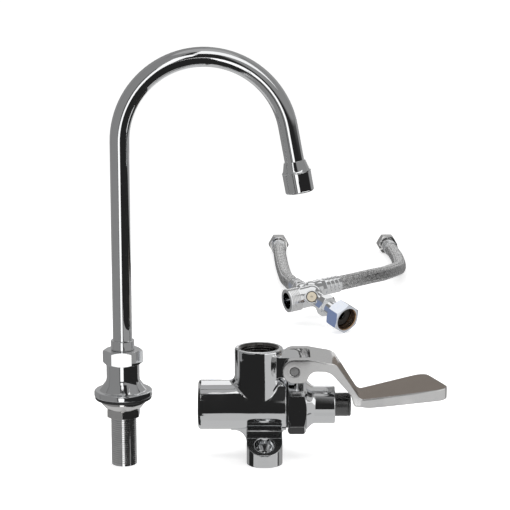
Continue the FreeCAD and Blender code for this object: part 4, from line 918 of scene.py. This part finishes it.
def studio():
    """Floor, world, lamps and cards."""
    bpy.context.scene.view_settings.view_transform = "Standard"
    studio_world()
    studio_floor()
    soft_lamp("front_softbox", spot=(0.18, -0.128, 0.52), target=(0.18, -0.128, 0),
              size=(0.29, 0.13), power=0.48)
    soft_lamp("back_softbox", spot=(0.1, 0.36, 0.62), target=(0.1, 0.36, 0),
              size=(1.1, 0.34), power=2.6)
    lay_cards()


POLISH = make_polish_group()
EDGES = make_edge_group()
THREAD = make_thread_tree()
SHADING = make_shading_tree()
MATERIALS = {
    "polished_chrome": metal("polished_chrome", grey(0.84, -0.01), 0.025, 0.07),
    "nickel_plate": metal("nickel_plate", grey(0.78, 0.01), 0.08, 0.2, 90),
    "brass": metal("brass", (0.70, 0.55, 0.34, 1), 0.18, 0.35, 120, worn=(0.85, 0.7, 0.45, 1)),
    "steel": metal("steel", grey(0.62), 0.22, 0.36, 150),
    "plunger_steel": metal("plunger_steel", grey(0.16), 0.2, 0.35, 140, worn=grey(0.4)),
    "black_rubber": rubber("black_rubber", 0.03, 0.55),
    "white_plastic": rubber("white_plastic", 0.75, 0.4),
    "steel_braid": braid_steel("steel_braid"),
    "hose_liner": rubber("hose_liner", 0.05, 0.6),
    "cast_chrome": metal("cast_chrome", grey(0.84, -0.01), 0.03, 0.08, waves=0.5 * MM, edge=0.9 * MM),
    "satin_chrome": metal("satin_chrome", grey(0.86, 0.006), 0.1, 0.17, 70, edge=2 * MM, draft=0.22),
    "threaded_steel": metal("threaded_steel", grey(0.66), 0.14, 0.28, 110),
    "thread_brass": metal("thread_brass", (0.42, 0.26, 0.16, 1), 0.25, 0.45, 140),
    # Painted shade: the threads inside the valve's ports are bare metal, darkened well below the
    # threaded steel as the shade in the ports
    "port_thread": metal("port_thread", grey(0.34, 0.03), 0.2, 0.34, 140),
    "plug_brass": metal("plug_brass", (0.78, 0.70, 0.56, 1), 0.2, 0.32, 120),
    "pin_steel": metal("pin_steel", grey(0.1), 0.25, 0.4, 150, wear=0, draft=0.22),
    "tee_nut_plate": metal("tee_nut_plate", (0.80, 0.84, 0.92, 1), 0.05, 0.14, 80),
}
bare_and_shaded_bore(MATERIALS["tee_nut_plate"], TEE_SPOT, NUT_WAY, 12.9 * MM, (0.5, 0.33, 0.2, 1))
# Painted shade: the upright port's bore is bare metal darkened to a dark grey, as shade would darken it
bare_and_shaded_bore(MATERIALS["cast_chrome"], VALVE_SPOT, UP, 17.0 * MM, grey(0.2, 0.04), past=22.5 * MM)
bare_and_shaded_bore(MATERIALS["pin_steel"], PIVOT_SPOT, Vector((0, 1, 0)), 3.1 * MM, grey(0.62))
# Pieces whose finish isn't that of their slot
FINISH_OF = {
    "valve_body": "cast_chrome",
    "pedal_lever": "satin_chrome",
    "swivel_nut": "tee_nut_plate",
    "test_plug": "plug_brass",
    "pivot_pin": "pin_steel",
}
# Thread pitches in millimetres, 14 and 11 turns to the inch: G 1/2 and G 3/4, and G 1
FINE_PITCH = 1.814
COARSE_PITCH = 2.309

place_camera()
studio()
for side in ROUTES:
    lay_hose(side)
lay_spring()
dress_nodes()
wind_thread("shank_thread", radius=10.45, pitch=FINE_PITCH, length=38.5, height=0.45,
            spot=Vector((0, 0, 0.0012)), way=UP,
            finish="threaded_steel", body="set")
# The valve's port threads, in the darker finish that paints the shade inside the ports
for port, start, way in (("upper", (0, 0, 36.0), UP), ("left", (-37.5, 0, 0), Vector((-1, 0, 0)))):
    wind_thread(f"{port}_port_thread", radius=15.25, pitch=COARSE_PITCH, length=11.5, height=-0.9,
                spot=VALVE_SPOT + Vector(start) * MM, way=way,
                finish="port_thread", body="set")
wind_thread("tee_male_thread", radius=13.2, pitch=FINE_PITCH, length=11.5, height=0.3,
            spot=TEE_SPOT + MALE_WAY * 18.5 * MM, way=MALE_WAY,
            finish="threaded_steel", body="set")
wind_thread("tee_nut_thread", radius=12.15, pitch=FINE_PITCH, length=7.2, height=-0.6,
            spot=TEE_SPOT + NUT_WAY * 57.0 * MM, way=NUT_WAY,
            finish="thread_brass", body="tee_nut")
